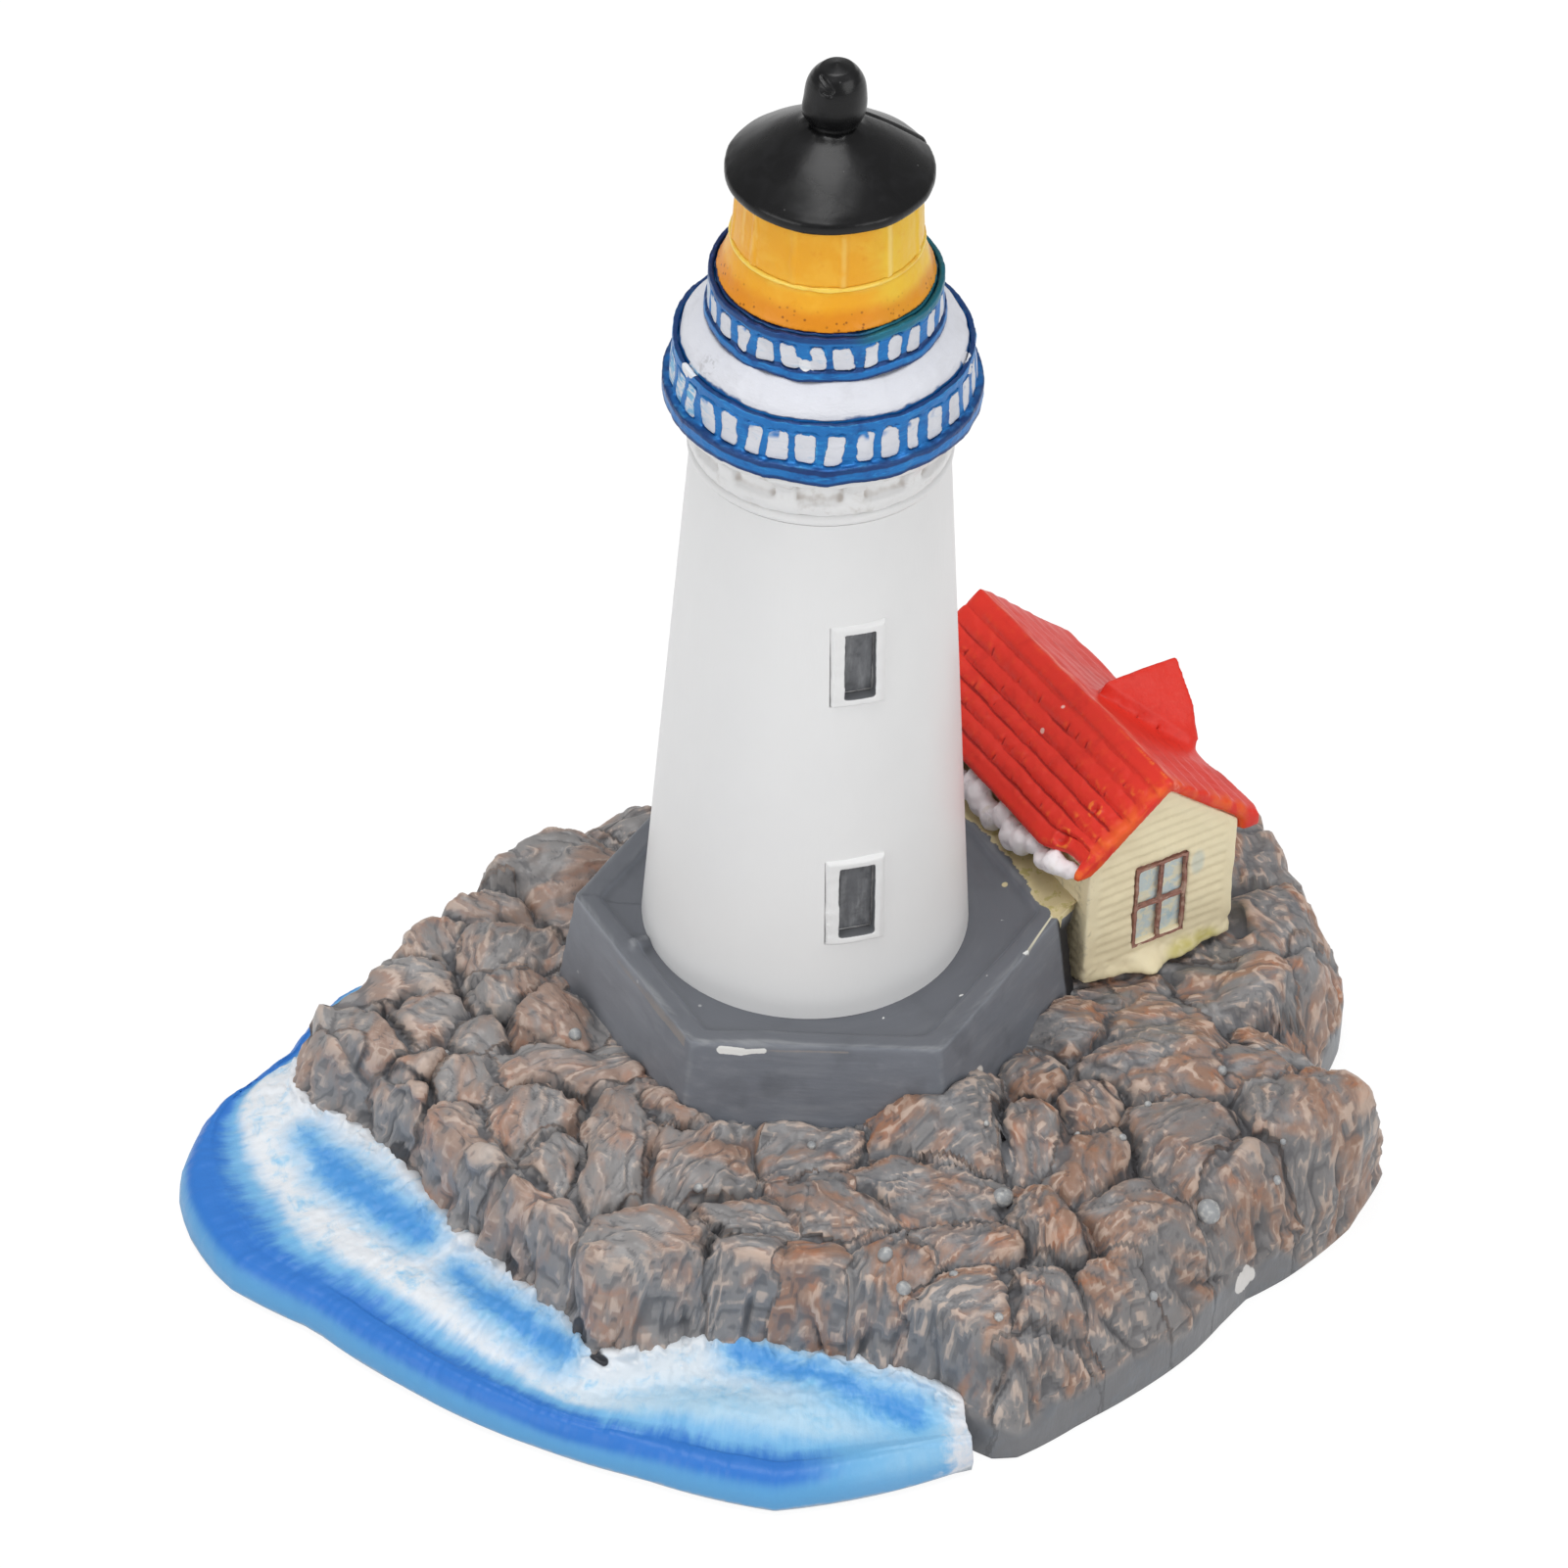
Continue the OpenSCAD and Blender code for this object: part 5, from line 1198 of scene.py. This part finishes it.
class FIGURINE_OT_lantern(bpy.types.Operator):
    """Shapes the amber lantern, its yellow sill line, the black roof and the knob"""
    bl_idname = "figurine.lantern"
    bl_label = "Lantern and roof"

    def execute(self, context):
        colours = context.scene.figurine_paint
        base = cast_copy("lantern_flare", "lantern_base", voxel=0.14, rounds=3, wobble=0.05, size=2)
        finish(base, amber_paint("flare_paint", colours), "amber", "lantern_base")
        glazing = cast_copy("lantern_glass", "lantern_glazing", voxel=0.12, rounds=3, wobble=0.03, size=2)
        turn = np.degrees(round_axis(points_of(glazing))[0]) + 80
        sideways = np.abs((turn + 15) % 30 - 15) * math.pi / 180 * GLAZING_R
        strength = np.select([np.abs(turn) < 15, np.abs(turn - 30) < 15], [0.5, 1.0], 0.07)
        keep(glazing, "bar", ease(1.3 - sideways / 0.2) * strength)
        finish(glazing, amber_paint("glass_paint", colours, bars=True), "amber", "lantern_glazing")
        sill = cast_copy("lantern_line", "lantern_sill", voxel=0.07, rounds=3, wobble=0.05, size=1.5)
        finish(sill, sill_paint(), "yellow_line", "lantern_sill")
        roof = cast_copy("roof_shell", "lantern_roof", voxel=0.13, rounds=10, wobble=0.04, size=5)
        crease_roof(roof)
        finish(roof, black_paint("roof_black", colours), "black_gloss", "lantern_roof")
        knob = cast_copy("roof_knob", "vent_ball", voxel=0.075, rounds=6)
        shape_knob(knob)
        finish(knob, black_paint("knob_black", colours), "black_gloss", "vent_ball")
        return {"FINISHED"}


def sill_paint():
    """Bright yellow line, greener below."""
    paint = Paint("sill_paint", 0.35, coat=0.3)
    patch = paint.noise(1.4, 3, 0.6)
    colour = paint.layers((0.93, 0.66, 0.09), ((0.85, 0.45, 0.04), patch.step(0.5, 0.7) * 0.7),
                          ((0.50, 0.50, 0.08), (1 - paint.part(2).step(81.85, 81.98)) * 0.5))
    return paint.done(colour, 0.3 + patch * 0.1, patch, 0.03)


# The crease in the roof and the fold beside it, in x and y; the knob's lobe, and its two nicks in x and z
CREASE = ((2.3, 2.4), (7.5, 3.0))
FOLD = ((2.3, 2.85), (7.0, 3.6))
KNOB_LOBE = (-1.75, -0.7, 93.1)
KNOB_NICKS = (((-0.95, 96.15), (-0.25, 95.55)), ((-0.85, 95.35), (-0.4, 95.25)))


def crease_roof(piece):
    """Runs one brush crease from the neck to the right rim, thickens the rim's drips and lifts a collar."""
    points, normals = points_of(piece), normals_of(piece)
    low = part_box("lantern_roof")[0]
    turn, radius = round_axis(points)
    up = normals[:, 2] > 0.1
    crease = bell(from_line(points, *CREASE), 0.17) * up * (1 + 0.6 * hills(points, 1.4, 1))
    fold = bell(from_line(points, *FOLD), 0.26) * up
    rim = bell(points[:, 2] - low.z / MM - 0.5, 0.6) * (radius > 6)
    drips = hills(np.stack([np.cos(turn) * 2.4, np.sin(turn) * 2.4, 0 * turn], axis=1), 1.0, 2)
    lift = -0.08 * crease + 0.06 * fold + rim * (0.05 + 0.10 * drips)
    points = points + normals * lift[:, None]
    points[:, 2] += 0.2 * bell(radius - 1.7, 0.5) * (1 + 0.6 * drips) * up
    set_points(piece, points)


def shape_knob(piece):
    """Makes the knob a little wider, with a lobe low on the left, a wider neck and two short nicks."""
    points, normals = points_of(piece), normals_of(piece)
    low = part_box("vent_ball")[0]
    above = ease((points[:, 2] - low.z / MM - 1.0) / 0.8)
    lobe = bell(np.linalg.norm(points - KNOB_LOBE, axis=1), 0.85)
    lift = 0.09 * hills(points, 2.6, 2) + 0.30 * lobe
    front = points[:, 1] < -0.6
    flat = points[:, [0, 2]]
    for start, end in KNOB_NICKS:
        lift -= 0.16 * bell(from_line(flat, start, end), 0.13) * front
    points = points + normals * (lift * above)[:, None]
    points[:, 0] = points[:, 0] * (1 + 0.05 * above) + 0.25 * above
    neck = 1 - ease((points[:, 2] - low.z / MM - 1.0) / 0.9)
    points[:, :2] *= (1 + 0.22 * neck)[:, None]
    set_points(piece, points)


def black_paint(name, colours):
    """Deep gloss black with a faint brushed unevenness and a few dust specks."""
    paint = Paint(name, 0.26, gloss=0.27)
    brush = paint.noise(1.8, 3, 0.5, bend=0.5)
    dust = 1 - paint.specks(1.9).step(0.025, 0.05)
    colour = paint.layers(colours.black, ((0.014, 0.014, 0.0155), brush.step(0.45, 0.75) * 0.6),
                          ((0.16, 0.16, 0.16), dust * 0.4))
    return paint.done(colour, 0.24 + brush * 0.08, brush + paint.noise(0.5, 3) * 0.15, 0.02)


# Cottage

def house_places(piece):
    """Keeps and gives each point's place along the gable, along the ridge and in height."""
    points = points_of(piece)
    along, back = cottage_place(points[:, 0], points[:, 1])
    keep_vector(piece, "house", np.stack([along, back, points[:, 2]], axis=1))
    return along, back


class FIGURINE_OT_cottage(bpy.types.Operator):
    """Softens the cottage's boards and window and the plaster under its eave"""
    bl_idname = "figurine.cottage"
    bl_label = "Cottage walls and window"

    def execute(self, context):
        colours = context.scene.figurine_paint
        walls = cast_copy("cottage_boards", "cottage_walls", voxel=0.17, rounds=5, wobble=0.08, size=2.4)
        keep_relief(walls, 10, 0.07)
        along, back = house_places(walls)
        points = points_of(walls)
        ragged = 0.75 + 0.6 * hills(points * (1, 1, 0) + 20, 2.2, 2)
        foot = ease((11.9 + 0.4 * ragged - points[:, 2]) / 0.8) * (back < 1) * ease((along - 0.8) / 2)
        apron = 0.5 + 1.1 * ease((along - 3) / 3) * ease((11.5 - along) / 3)
        points -= np.outer(foot * ragged * apron, RIDGE_WAY)
        soft = ease((13.2 - points[:, 2]) / 0.8) * (back < 1)
        points = softened(walls, points, 25, soft)
        points += normals_of(walls) * (0.12 * soft * hills(points, 0.9, 3))[:, None]
        set_points(walls, points)
        finish(walls, board_paint(colours), "cottage_cream", "cottage_walls")
        gable = cast_copy("dormer_wall", "cross_gable_wall", voxel=0.12, rounds=3, wobble=0.04)
        keep(gable, "edge", np.zeros(len(gable.data.vertices)))
        house_places(gable)
        finish(gable, board_paint(colours), "cottage_cream", "cross_gable_wall")
        bars = cast_copy("window_bars", "cottage_window_frame", voxel=0.055, rounds=5, wobble=0.07,
                         size=0.9)
        set_points(bars, larger_window(points_of(bars) - 0.13 * normals_of(bars)))
        finish(bars, bar_paint(), "window_brown", "cottage_window_frame")
        panes = cast_copy("window_lights", "cottage_window_panes", voxel=0.06, rounds=2, wobble=0.03,
                          size=0.8)
        set_points(panes, larger_window(points_of(panes)))
        finish(panes, pane_paint(), "pane_pale", "cottage_window_panes")
        lumps = cast_copy("eave_lumps", "eave_plaster", voxel=0.13, rounds=6)
        points = points_of(lumps)
        along, back = cottage_place(points[:, 0], points[:, 1])
        points = softened(lumps, points, 40, 0.8)
        top = points[:, 2].max()
        size = np.interp(back, (0, 1.5, 5, 10, 20), (0.5, 0.8, 1.3, 1.8, 2.0))
        points[:, 2] = top + 0.95 + 0.5 * ease((9 - back) / 5) - (top - points[:, 2]) * size
        points -= np.outer((0.45 + 0.6 * ease((0.2 - along) / 1.2)) * ease((back - 1) / 2), GABLE_WAY)
        set_points(lumps, points)
        lift = 0.15 + 0.17 * hills(points, 1.2, 3)
        set_points(lumps, points + normals_of(lumps) * lift[:, None])
        finish(lumps, plaster_paint(), "plaster_white", "eave_plaster")
        return {"FINISHED"}


def larger_window(points):
    """Points of the cottage's window, grown in its own plane downwards and to both sides."""
    low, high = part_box("cottage_window_frame")
    points[:, 2] = high.z / MM - (high.z / MM - points[:, 2]) * 1.07
    along = (points[:, 0] - (low.x + high.x) / 2 / MM) * 0.04
    return points + np.outer(along, (1, math.tan(COTTAGE_TURN), 0))


def plaster_paint():
    """Lilac white, mottled with grey that stands in for shade in the rough plaster, and a little cream."""
    paint = Paint("plaster_paint", 0.5, gloss=0.3)
    mottle = paint.noise(1.2, 4, 0.65, bend=0.5)
    # The grey mottle stands in for shade in the rough plaster.
    colour = paint.layers((0.95, 0.92, 0.94), ((0.60, 0.56, 0.60), mottle.step(0.52, 0.74) * 0.75),
                          ((0.62, 0.55, 0.42), paint.noise(2.1, 3, 0.6).step(0.6, 0.75) * 0.5))
    return paint.done(colour, 0.45 + mottle * 0.1, mottle, 0.08)


def board_paint(colours):
    """Cream paint, darker between the boards, with a green stain, a pale blue smudge on the gable and patches
    of painted shade on the side wall under the eave.
    """
    paint = Paint("board_paint", 0.45, gloss=0.35)
    edge, house = paint.kept("edge"), paint.kept_vector("house")
    along, back, height = (paint.part(axis, house) for axis in range(3))
    cloud = paint.noise(3, 3, 0.6, bend=0.4)
    front = 1 - back.step(0.5, 1.2)
    stain = paint.spots(*WALL_STAINS) * cloud.step(0.3, 0.5)
    smudge = front * (1 - ((along - 10.1) * (along - 10.1) * 1.6
                           + (height - 19.6) * (height - 19.6) * 0.45).step(0.2, 1.0))
    # Darker patches on the side wall under the eave are painted shade.
    side = (1 - along.step(0.3, 0.6)) * paint.noise(1.0, 4, 0.65).step(0.5, 0.7)
    colour = paint.layers(colours.cream,
                          ((0.88, 0.80, 0.56), cloud.step(0.45, 0.7) * 0.5),
                          ((0.60, 0.52, 0.30), (-edge).step(0.15, 1.2) * 0.5),
                          ((0.88, 0.82, 0.62), edge.step(0.4, 1.2) * 0.4),
                          ((0.55, 0.49, 0.10), stain * 0.9),
                          ((0.50, 0.62, 0.62), smudge * 0.5),
                          ((0.40, 0.36, 0.24), side * 0.6),
                          ((0.62, 0.56, 0.33), (1 - (height + cloud * 1.2).step(11.6, 12.6)) * 0.5))
    return paint.done(colour, 0.4 + cloud * 0.15, cloud + paint.noise(0.6, 3) * 0.6, 0.05)


def bar_paint():
    """Thin reddish-brown lines that let the cream show through in places."""
    paint = Paint("bar_paint", 0.5, gloss=0.3)
    patch = paint.noise(0.7, 3, 0.6)
    colour = paint.layers((0.37, 0.185, 0.145), ((0.60, 0.43, 0.34), patch.step(0.46, 0.7) * 0.8),
                          ((0.13, 0.055, 0.045), paint.noise(0.5, 3).step(0.55, 0.75) * 0.6))
    return paint.done(colour, 0.45 + patch * 0.15, patch, 0.04)


def pane_paint():
    """Pale grey-blue lights with cream left at their edges."""
    paint = Paint("pane_paint", 0.42, gloss=0.35)
    patch = paint.noise(1.1, 3, 0.6, bend=0.6)
    colour = paint.layers((0.66, 0.77, 0.77), ((0.88, 0.86, 0.66), patch.step(0.44, 0.62)),
                          ((0.42, 0.62, 0.72), paint.noise(0.9, 3).step(0.56, 0.72) * 0.7))
    return paint.done(colour, 0.4 + patch * 0.15, patch, 0.04)


# The roof's half width, the height of the gable's peak, the slope, and the width of a course and of a tile
HALF_GABLE = 6.8
GABLE_PEAK = 28.4
ROOF_TAN = 5.8 / 6.8
LEFT_COURSE = 8.2 / 7
TILE = 1.35
# The valley in front of the cross gable, the gable's low corner, and the two craters with their sizes
VALLEY = ((21.9, 12.3, 28.9), (29.8, 12.8, 23.6))
GABLE_CORNER = (30.3, 14.2, 24.2)
CRATERS = (((21.81, 3.36, 26.0), 0.55), ((19.44, 2.29, 23.9), 0.75))


def sagged(along, back, points):
    """Points of the roof with its top sunk as on the real casting, and its front left eave cut short."""
    under = GABLE_PEAK - np.abs(along - HALF_GABLE) * ROOF_TAN
    above = points[:, 2] - under - 1.9
    share = np.clip((points[:, 2] - under) / 1.6, 0, 1) * (1 - ease(above / 0.8) * (along > 7.5))
    depth = 0.6 + 0.5 * ease((back - 4) / 20)
    right = 1 + (np.interp(back, (0, 5, 18), (0.2, 0.4, 1.45)) - 1) * ease((along - 7.2) / 7)
    sunk = points.copy()
    sunk[:, 2] -= depth * share * np.where(along > HALF_GABLE, right, ease((along + 0.4) / 4.5))
    pull = 1.0 * ease((5.2 - back) / 3.5) * ease((back - 0.1) / 0.6) * ease((0.6 - along) / 1.5)
    return sunk + np.outer(pull, (*GABLE_WAY[:2], 0.55))


class FIGURINE_OT_tiles(bpy.types.Operator):
    """Models the tiled cottage roof with its broad ridge, thick lip and the cross gable"""
    bl_idname = "figurine.tiles"
    bl_label = "Cottage roof"

    def execute(self, context):
        roof = cast_copy("tiled_roof", "cottage_roof", "cross_gable", voxel=0.155, rounds=8, wobble=0.06,
                         size=3, sink=-0.1)
        points, normals = points_of(roof), normals_of(roof)
        along, back = cottage_place(points[:, 0], points[:, 1])
        top = normals[:, 2] > 0.15
        gable = ease((along - 7.0) / 1.2) * ease((back - 4.2) / 2) * ease((20.2 - back) / 2)
        gable = gable * (points[:, 2] > 22) * top
        blurred = averaged(roof, points, 120)
        filled = ((blurred - points) * normals).sum(axis=1)
        valley = ease((3.1 - from_line(points, *VALLEY)) / 2.2) * gable
        points = points + normals * (np.clip(filled, 0, None) * gable * (1 - valley))[:, None]
        points = points + (blurred - points) * valley[:, None]
        corner = ease((2.9 - np.linalg.norm(points - GABLE_CORNER, axis=1)) / 2.0)
        slope = 0.8 * ease((HALF_GABLE - 0.4 - along) / 0.4) * top
        verge = 0.7 * ease((0.4 - back) / 0.8)
        right_end = ease((0.8 - back) / 0.8) * ease((along - 10.5) / 1.5)
        ends = 0.9 * np.maximum(right_end, 0.8 * ease((back - 24) / 1.5))
        for rounds, share in ((90, corner), (10, slope), (12, verge), (40, ends)):
            points = softened(roof, points, rounds, share)
        set_points(roof, sagged(along, back, points))
        points, normals = points_of(roof), normals_of(roof)
        left = (along < HALF_GABLE) & (normals[:, 2] > 0.2)
        run = HALF_GABLE - along + 0.06 * hills(points, 1.8, 2)
        course = run / LEFT_COURSE
        lap = course % 1
        row = np.floor(course)
        along_row = np.stack([back * 0.35, row * 7.3, 0 * back], axis=1)
        groove = bell(lap - 0.07, 0.09) * (0.3 + 0.7 * ease(hills(along_row, 2.2, 2) * 1.3 + 0.6))
        slot = (back + 0.63 * row + 0.35 * hills(points, 2, 1)) / TILE
        nick = bell(slot % 1 - 0.5, 0.10) * ease((lap - 0.5) / 0.3)
        nick *= ease(hills(points + 9, 1.9, 2) * 2 + 0.2)
        body = ease((run - 0.5) / 1.6) * ease((back - 0.4) / 0.5) * ease((7.9 - run) / 0.5) * left
        lift = 0.08 * np.sin(math.pi * lap) - 0.13 * groove - 0.14 * nick + 0.06 * hills(points, 0.9, 2)
        lift *= body
        for place, size in CRATERS:
            away = np.linalg.norm(points - place, axis=1)
            lift += (0.14 * bell(away - size, 0.2) - 0.34 * bell(away, size * 0.7)) * left
        set_points(roof, points + normals * lift[:, None])
        house_places(roof)
        keep_relief(roof, 7, 0.05)
        keep(roof, "groove", np.clip((groove + 0.8 * nick) * body, 0, 1))
        keep(roof, "left", left.astype(float))
        finish(roof, tile_paint(context.scene.figurine_paint), "roof_red", "cottage_roof", "cross_gable")
        return {"FINISHED"}


def tile_paint(colours):
    """Red paint, dark in the laps, orange where the edges near the front are rubbed, also standing in for
    their highlights, a pink painted highlight along the ridge, and painted shade in the hollows.
    """
    paint = Paint("tile_paint", 0.36, gloss=0.28)
    edge, groove, left = paint.kept("edge"), paint.kept("groove"), paint.kept("left")
    house = paint.kept_vector("house")
    along, back = paint.part(0, house), paint.part(1, house)
    cloud = paint.noise(2.4, 3, 0.6, bend=0.5)
    small = paint.noise(0.9, 4, 0.6)
    streaks = paint.noise(0.6, 4, 0.6, paint.stretched(1.6, 0.16, 1.6, house))
    front = 1 - (back + cloud * 3).step(3.5, 9)
    verge = (1 - (back + small).step(0.5, 1.7)) * (1 - along.step(13.6, 14.6))
    # A pink painted highlight runs along the ridge.
    wavy = along + (small - 0.5) * 0.5
    line = wavy.step(6.9, 7.15) * (1 - wavy.step(7.25, 7.6))
    # Orange on raised edges near the front is rubbed paint that also stands in for their highlights.
    wear_and_highlight = edge.step(0.2, 1.0) * small.step(0.42, 0.6) * left * (front * 0.8 + 0.2)
    rear = (1 - left) * streaks.step(0.52, 0.75) * back.step(0.5, 2)
    colour = paint.layers(colours.red,
                          ((0.56, 0.022, 0.014), cloud.step(0.5, 0.72) * 0.5),
                          ((0.74, 0.06, 0.02), small.step(0.5, 0.8) * left * 0.5),
                          ((0.86, 0.20, 0.03), wear_and_highlight),
                          ((0.82, 0.13, 0.02), verge * cloud.step(0.38, 0.62) * 0.7),
                          ((0.80, 0.11, 0.07), rear * 0.2),
                          # Pink painted highlight along the ridge.
                          ((0.86, 0.27, 0.19), line * streaks.step(0.35, 0.6) * 0.6),
                          ((0.26, 0.008, 0.006), groove.step(0.25, 0.85) * 0.75),
                          # Darker in the hollows: painted shade.
                          ((0.36, 0.010, 0.008), (-edge).step(0.4, 1.4) * 0.45),
                          ((0.88, 0.60, 0.52), paint.spots(*ROOF_DOTS) * 0.8))
    return paint.done(colour, 0.34 + cloud * 0.14, small + cloud * 0.4 + streaks * 0.5, 0.05)


# Bubbles in the resin

class FIGURINE_OT_bubbles(bpy.types.Operator):
    """Sets the small grey resin bubbles on the rocks"""
    bl_idname = "figurine.bubbles"
    bl_label = "Resin bubbles"

    def execute(self, context):
        rock = bpy.data.objects["rock_mass"]
        made = []
        for x, y, width in BUBBLES:
            hit, place, normal, _ = rock.ray_cast(Vector((x, y, 30)) * MM, Vector((0, 0, -1)))
            if not hit:
                raise RuntimeError(f"no rock under the bubble at {x}, {y}")
            deselect_all()
            bpy.ops.mesh.primitive_uv_sphere_add(segments=20, ring_count=12, radius=width / 2 * MM,
                                                 location=place + normal * width * 0.12 * MM)
            bead = bpy.context.object
            bead.scale = (1, 1, 0.8)
            bead.rotation_euler = normal.to_track_quat("Z", "Y").to_euler()
            bpy.ops.object.transform_apply(location=True, rotation=True, scale=True)
            made.append(bead)
        deselect_all()
        for bead in made:
            bead.select_set(True)
        bpy.context.view_layer.objects.active = made[0]
        bpy.ops.object.join()
        piece = bpy.context.object
        piece.name = piece.data.name = "resin_bubbles"
        points = points_of(piece)
        set_points(piece, points + normals_of(piece) * (0.05 * hills(points, 0.6, 2))[:, None])
        finish(piece, bubble_paint(), "rock")
        return {"FINISHED"}


def bubble_paint():
    """Grey, paler and darker in patches."""
    paint = Paint("bubble_paint", 0.35)
    patch = paint.noise(0.5, 3, 0.6)
    colour = paint.layers((0.30, 0.31, 0.32), ((0.50, 0.50, 0.48), patch.step(0.45, 0.7)),
                          ((0.13, 0.13, 0.14), paint.noise(0.8, 3).step(0.55, 0.8) * 0.7))
    return paint.done(colour, 0.32 + patch * 0.2, patch, 0.05)


# Stage

# Soft boxes: name, place and width in metres
LAMPS = (("overhead", (-0.02, -0.02, 0.62), 0.34), ("left_side", (-0.62, -0.5, 0.42), 0.5),
         ("right_side", (0.62, -0.5, 0.42), 0.5))
LAMP_AIM = (0, 0, 0.04)
TABLE_WIDTH = 6
CAMERA_PLACE = Vector((-1.90, -419.78, 391.42)) * MM
SENSOR_WIDTH = 36


def floor_paint():
    """White table that shows white to the camera and keeps the figurine's soft shadow."""
    paint = Paint("table", 0.9)
    paint.surface.inputs["Base Color"].default_value = (0.85, 0.85, 0.85, 1)
    paint.surface.inputs["Specular IOR Level"].default_value = 0.0
    glow = paint.node("ShaderNodeEmission", None, (1, 1, 1, 1), 0.90, out="Emission")
    plain = paint.node("ShaderNodeBsdfDiffuse", None, (0.14, 0.14, 0.14, 1), out="BSDF")
    lit = paint.node("ShaderNodeAddShader", None, glow, plain)
    seen = paint.node("ShaderNodeLightPath", None, out="Is Camera Ray").higher(
        paint.node("ShaderNodeLightPath", None, out="Is Glossy Ray"))
    shown = paint.node("ShaderNodeMixShader", None, seen, Field(paint, paint.surface.outputs[0]), lit)
    paint.tree.links.new(shown.socket, paint.tree.nodes["Material Output"].inputs["Surface"])
    return paint.material


def soft_box(name, place, width, power):
    """A square area light that looks at the figurine."""
    deselect_all()
    bpy.ops.object.light_add(type="AREA", location=place)
    lamp = bpy.context.object
    lamp.name = name
    lamp.data.shape = "SQUARE"
    lamp.data.size = width
    lamp.data.energy = power
    lamp.rotation_euler = (Vector(LAMP_AIM) - Vector(place)).to_track_quat("-Z", "Y").to_euler()


class FIGURINE_OT_stage(bpy.types.Operator):
    """Adds the table, the soft light and the camera"""
    bl_idname = "figurine.stage"
    bl_label = "Stage"

    def execute(self, context):
        stage = context.scene.figurine_stage
        deselect_all()
        bpy.ops.mesh.primitive_plane_add(size=TABLE_WIDTH, location=(0, 0, -0.0001))
        table = context.object
        table.name = "table_top"
        bpy.ops.object.transform_apply(location=True, rotation=True, scale=True)
        table.data.materials.append(floor_paint())
        for (name, place, width), power in zip(LAMPS, (stage.key, stage.fill, stage.fill)):
            soft_box(name, place, width, power)
        world = bpy.data.worlds.new("room")
        world.use_nodes = True
        background = world.node_tree.nodes["Background"]
        background.inputs["Color"].default_value = (1, 1, 1, 1)
        background.inputs["Strength"].default_value = stage.sky
        context.scene.world = world
        place_camera(stage)
        context.scene.view_settings.view_transform = "Standard"
        return {"FINISHED"}


def place_camera(stage):
    """Sets the camera to look down on the tower from the front."""
    deselect_all()
    bpy.ops.object.camera_add()
    camera = bpy.context.object
    forward = Vector((0, math.cos(stage.pitch), -math.sin(stage.pitch)))
    level = Vector((0, math.sin(stage.pitch), math.cos(stage.pitch)))
    right = Vector((math.cos(stage.roll), 0, 0)) + level * math.sin(stage.roll)
    up = right.cross(forward)
    turn = Matrix((right, up, -forward)).transposed().to_4x4()
    camera.matrix_world = Matrix.Translation(CAMERA_PLACE) @ turn
    camera.data.lens = stage.lens
    camera.data.sensor_width = SENSOR_WIDTH
    camera.data.clip_start = 0.01
    bpy.context.scene.camera = camera


class FIGURINE_PT_finish(bpy.types.Panel):
    """Lists the pieces of the figurine in the sidebar"""
    bl_label = "Figurine"
    bl_idname = "FIGURINE_PT_finish"
    bl_space_type = "VIEW_3D"
    bl_region_type = "UI"
    bl_category = "Figurine"

    def draw(self, context):
        for operator in OPERATORS:
            self.layout.operator(operator.bl_idname)
        for group in ("figurine_sculpt", "figurine_paint", "figurine_stage"):
            settings = getattr(context.scene, group)
            for name in settings.__annotations__:
                self.layout.prop(settings, name)


OPERATORS = (
    FIGURINE_OT_rocks, FIGURINE_OT_sea, FIGURINE_OT_plinth, FIGURINE_OT_tower, FIGURINE_OT_corbels,
    FIGURINE_OT_railings, FIGURINE_OT_lantern, FIGURINE_OT_cottage, FIGURINE_OT_tiles,
    FIGURINE_OT_bubbles, FIGURINE_OT_stage,
)
CLASSES = (FigurineSculpt, FigurinePaint, FigurineStage, *OPERATORS, FIGURINE_PT_finish)


def register():
    for kind in CLASSES:
        bpy.utils.register_class(kind)
    bpy.types.Scene.figurine_sculpt = PointerProperty(type=FigurineSculpt)
    bpy.types.Scene.figurine_paint = PointerProperty(type=FigurinePaint)
    bpy.types.Scene.figurine_stage = PointerProperty(type=FigurineStage)


def unregister():
    for name in ("figurine_sculpt", "figurine_paint", "figurine_stage"):
        delattr(bpy.types.Scene, name)
    for kind in reversed(CLASSES):
        bpy.utils.unregister_class(kind)


def main():
    register()
    bpy.ops.figurine.rocks()
    bpy.ops.figurine.sea()
    bpy.ops.figurine.plinth()
    bpy.ops.figurine.tower()
    bpy.ops.figurine.corbels()
    bpy.ops.figurine.railings()
    bpy.ops.figurine.lantern()
    bpy.ops.figurine.cottage()
    bpy.ops.figurine.tiles()
    bpy.ops.figurine.bubbles()
    bpy.ops.figurine.stage()
    deselect_all()


if __name__ == "__main__":
    main()
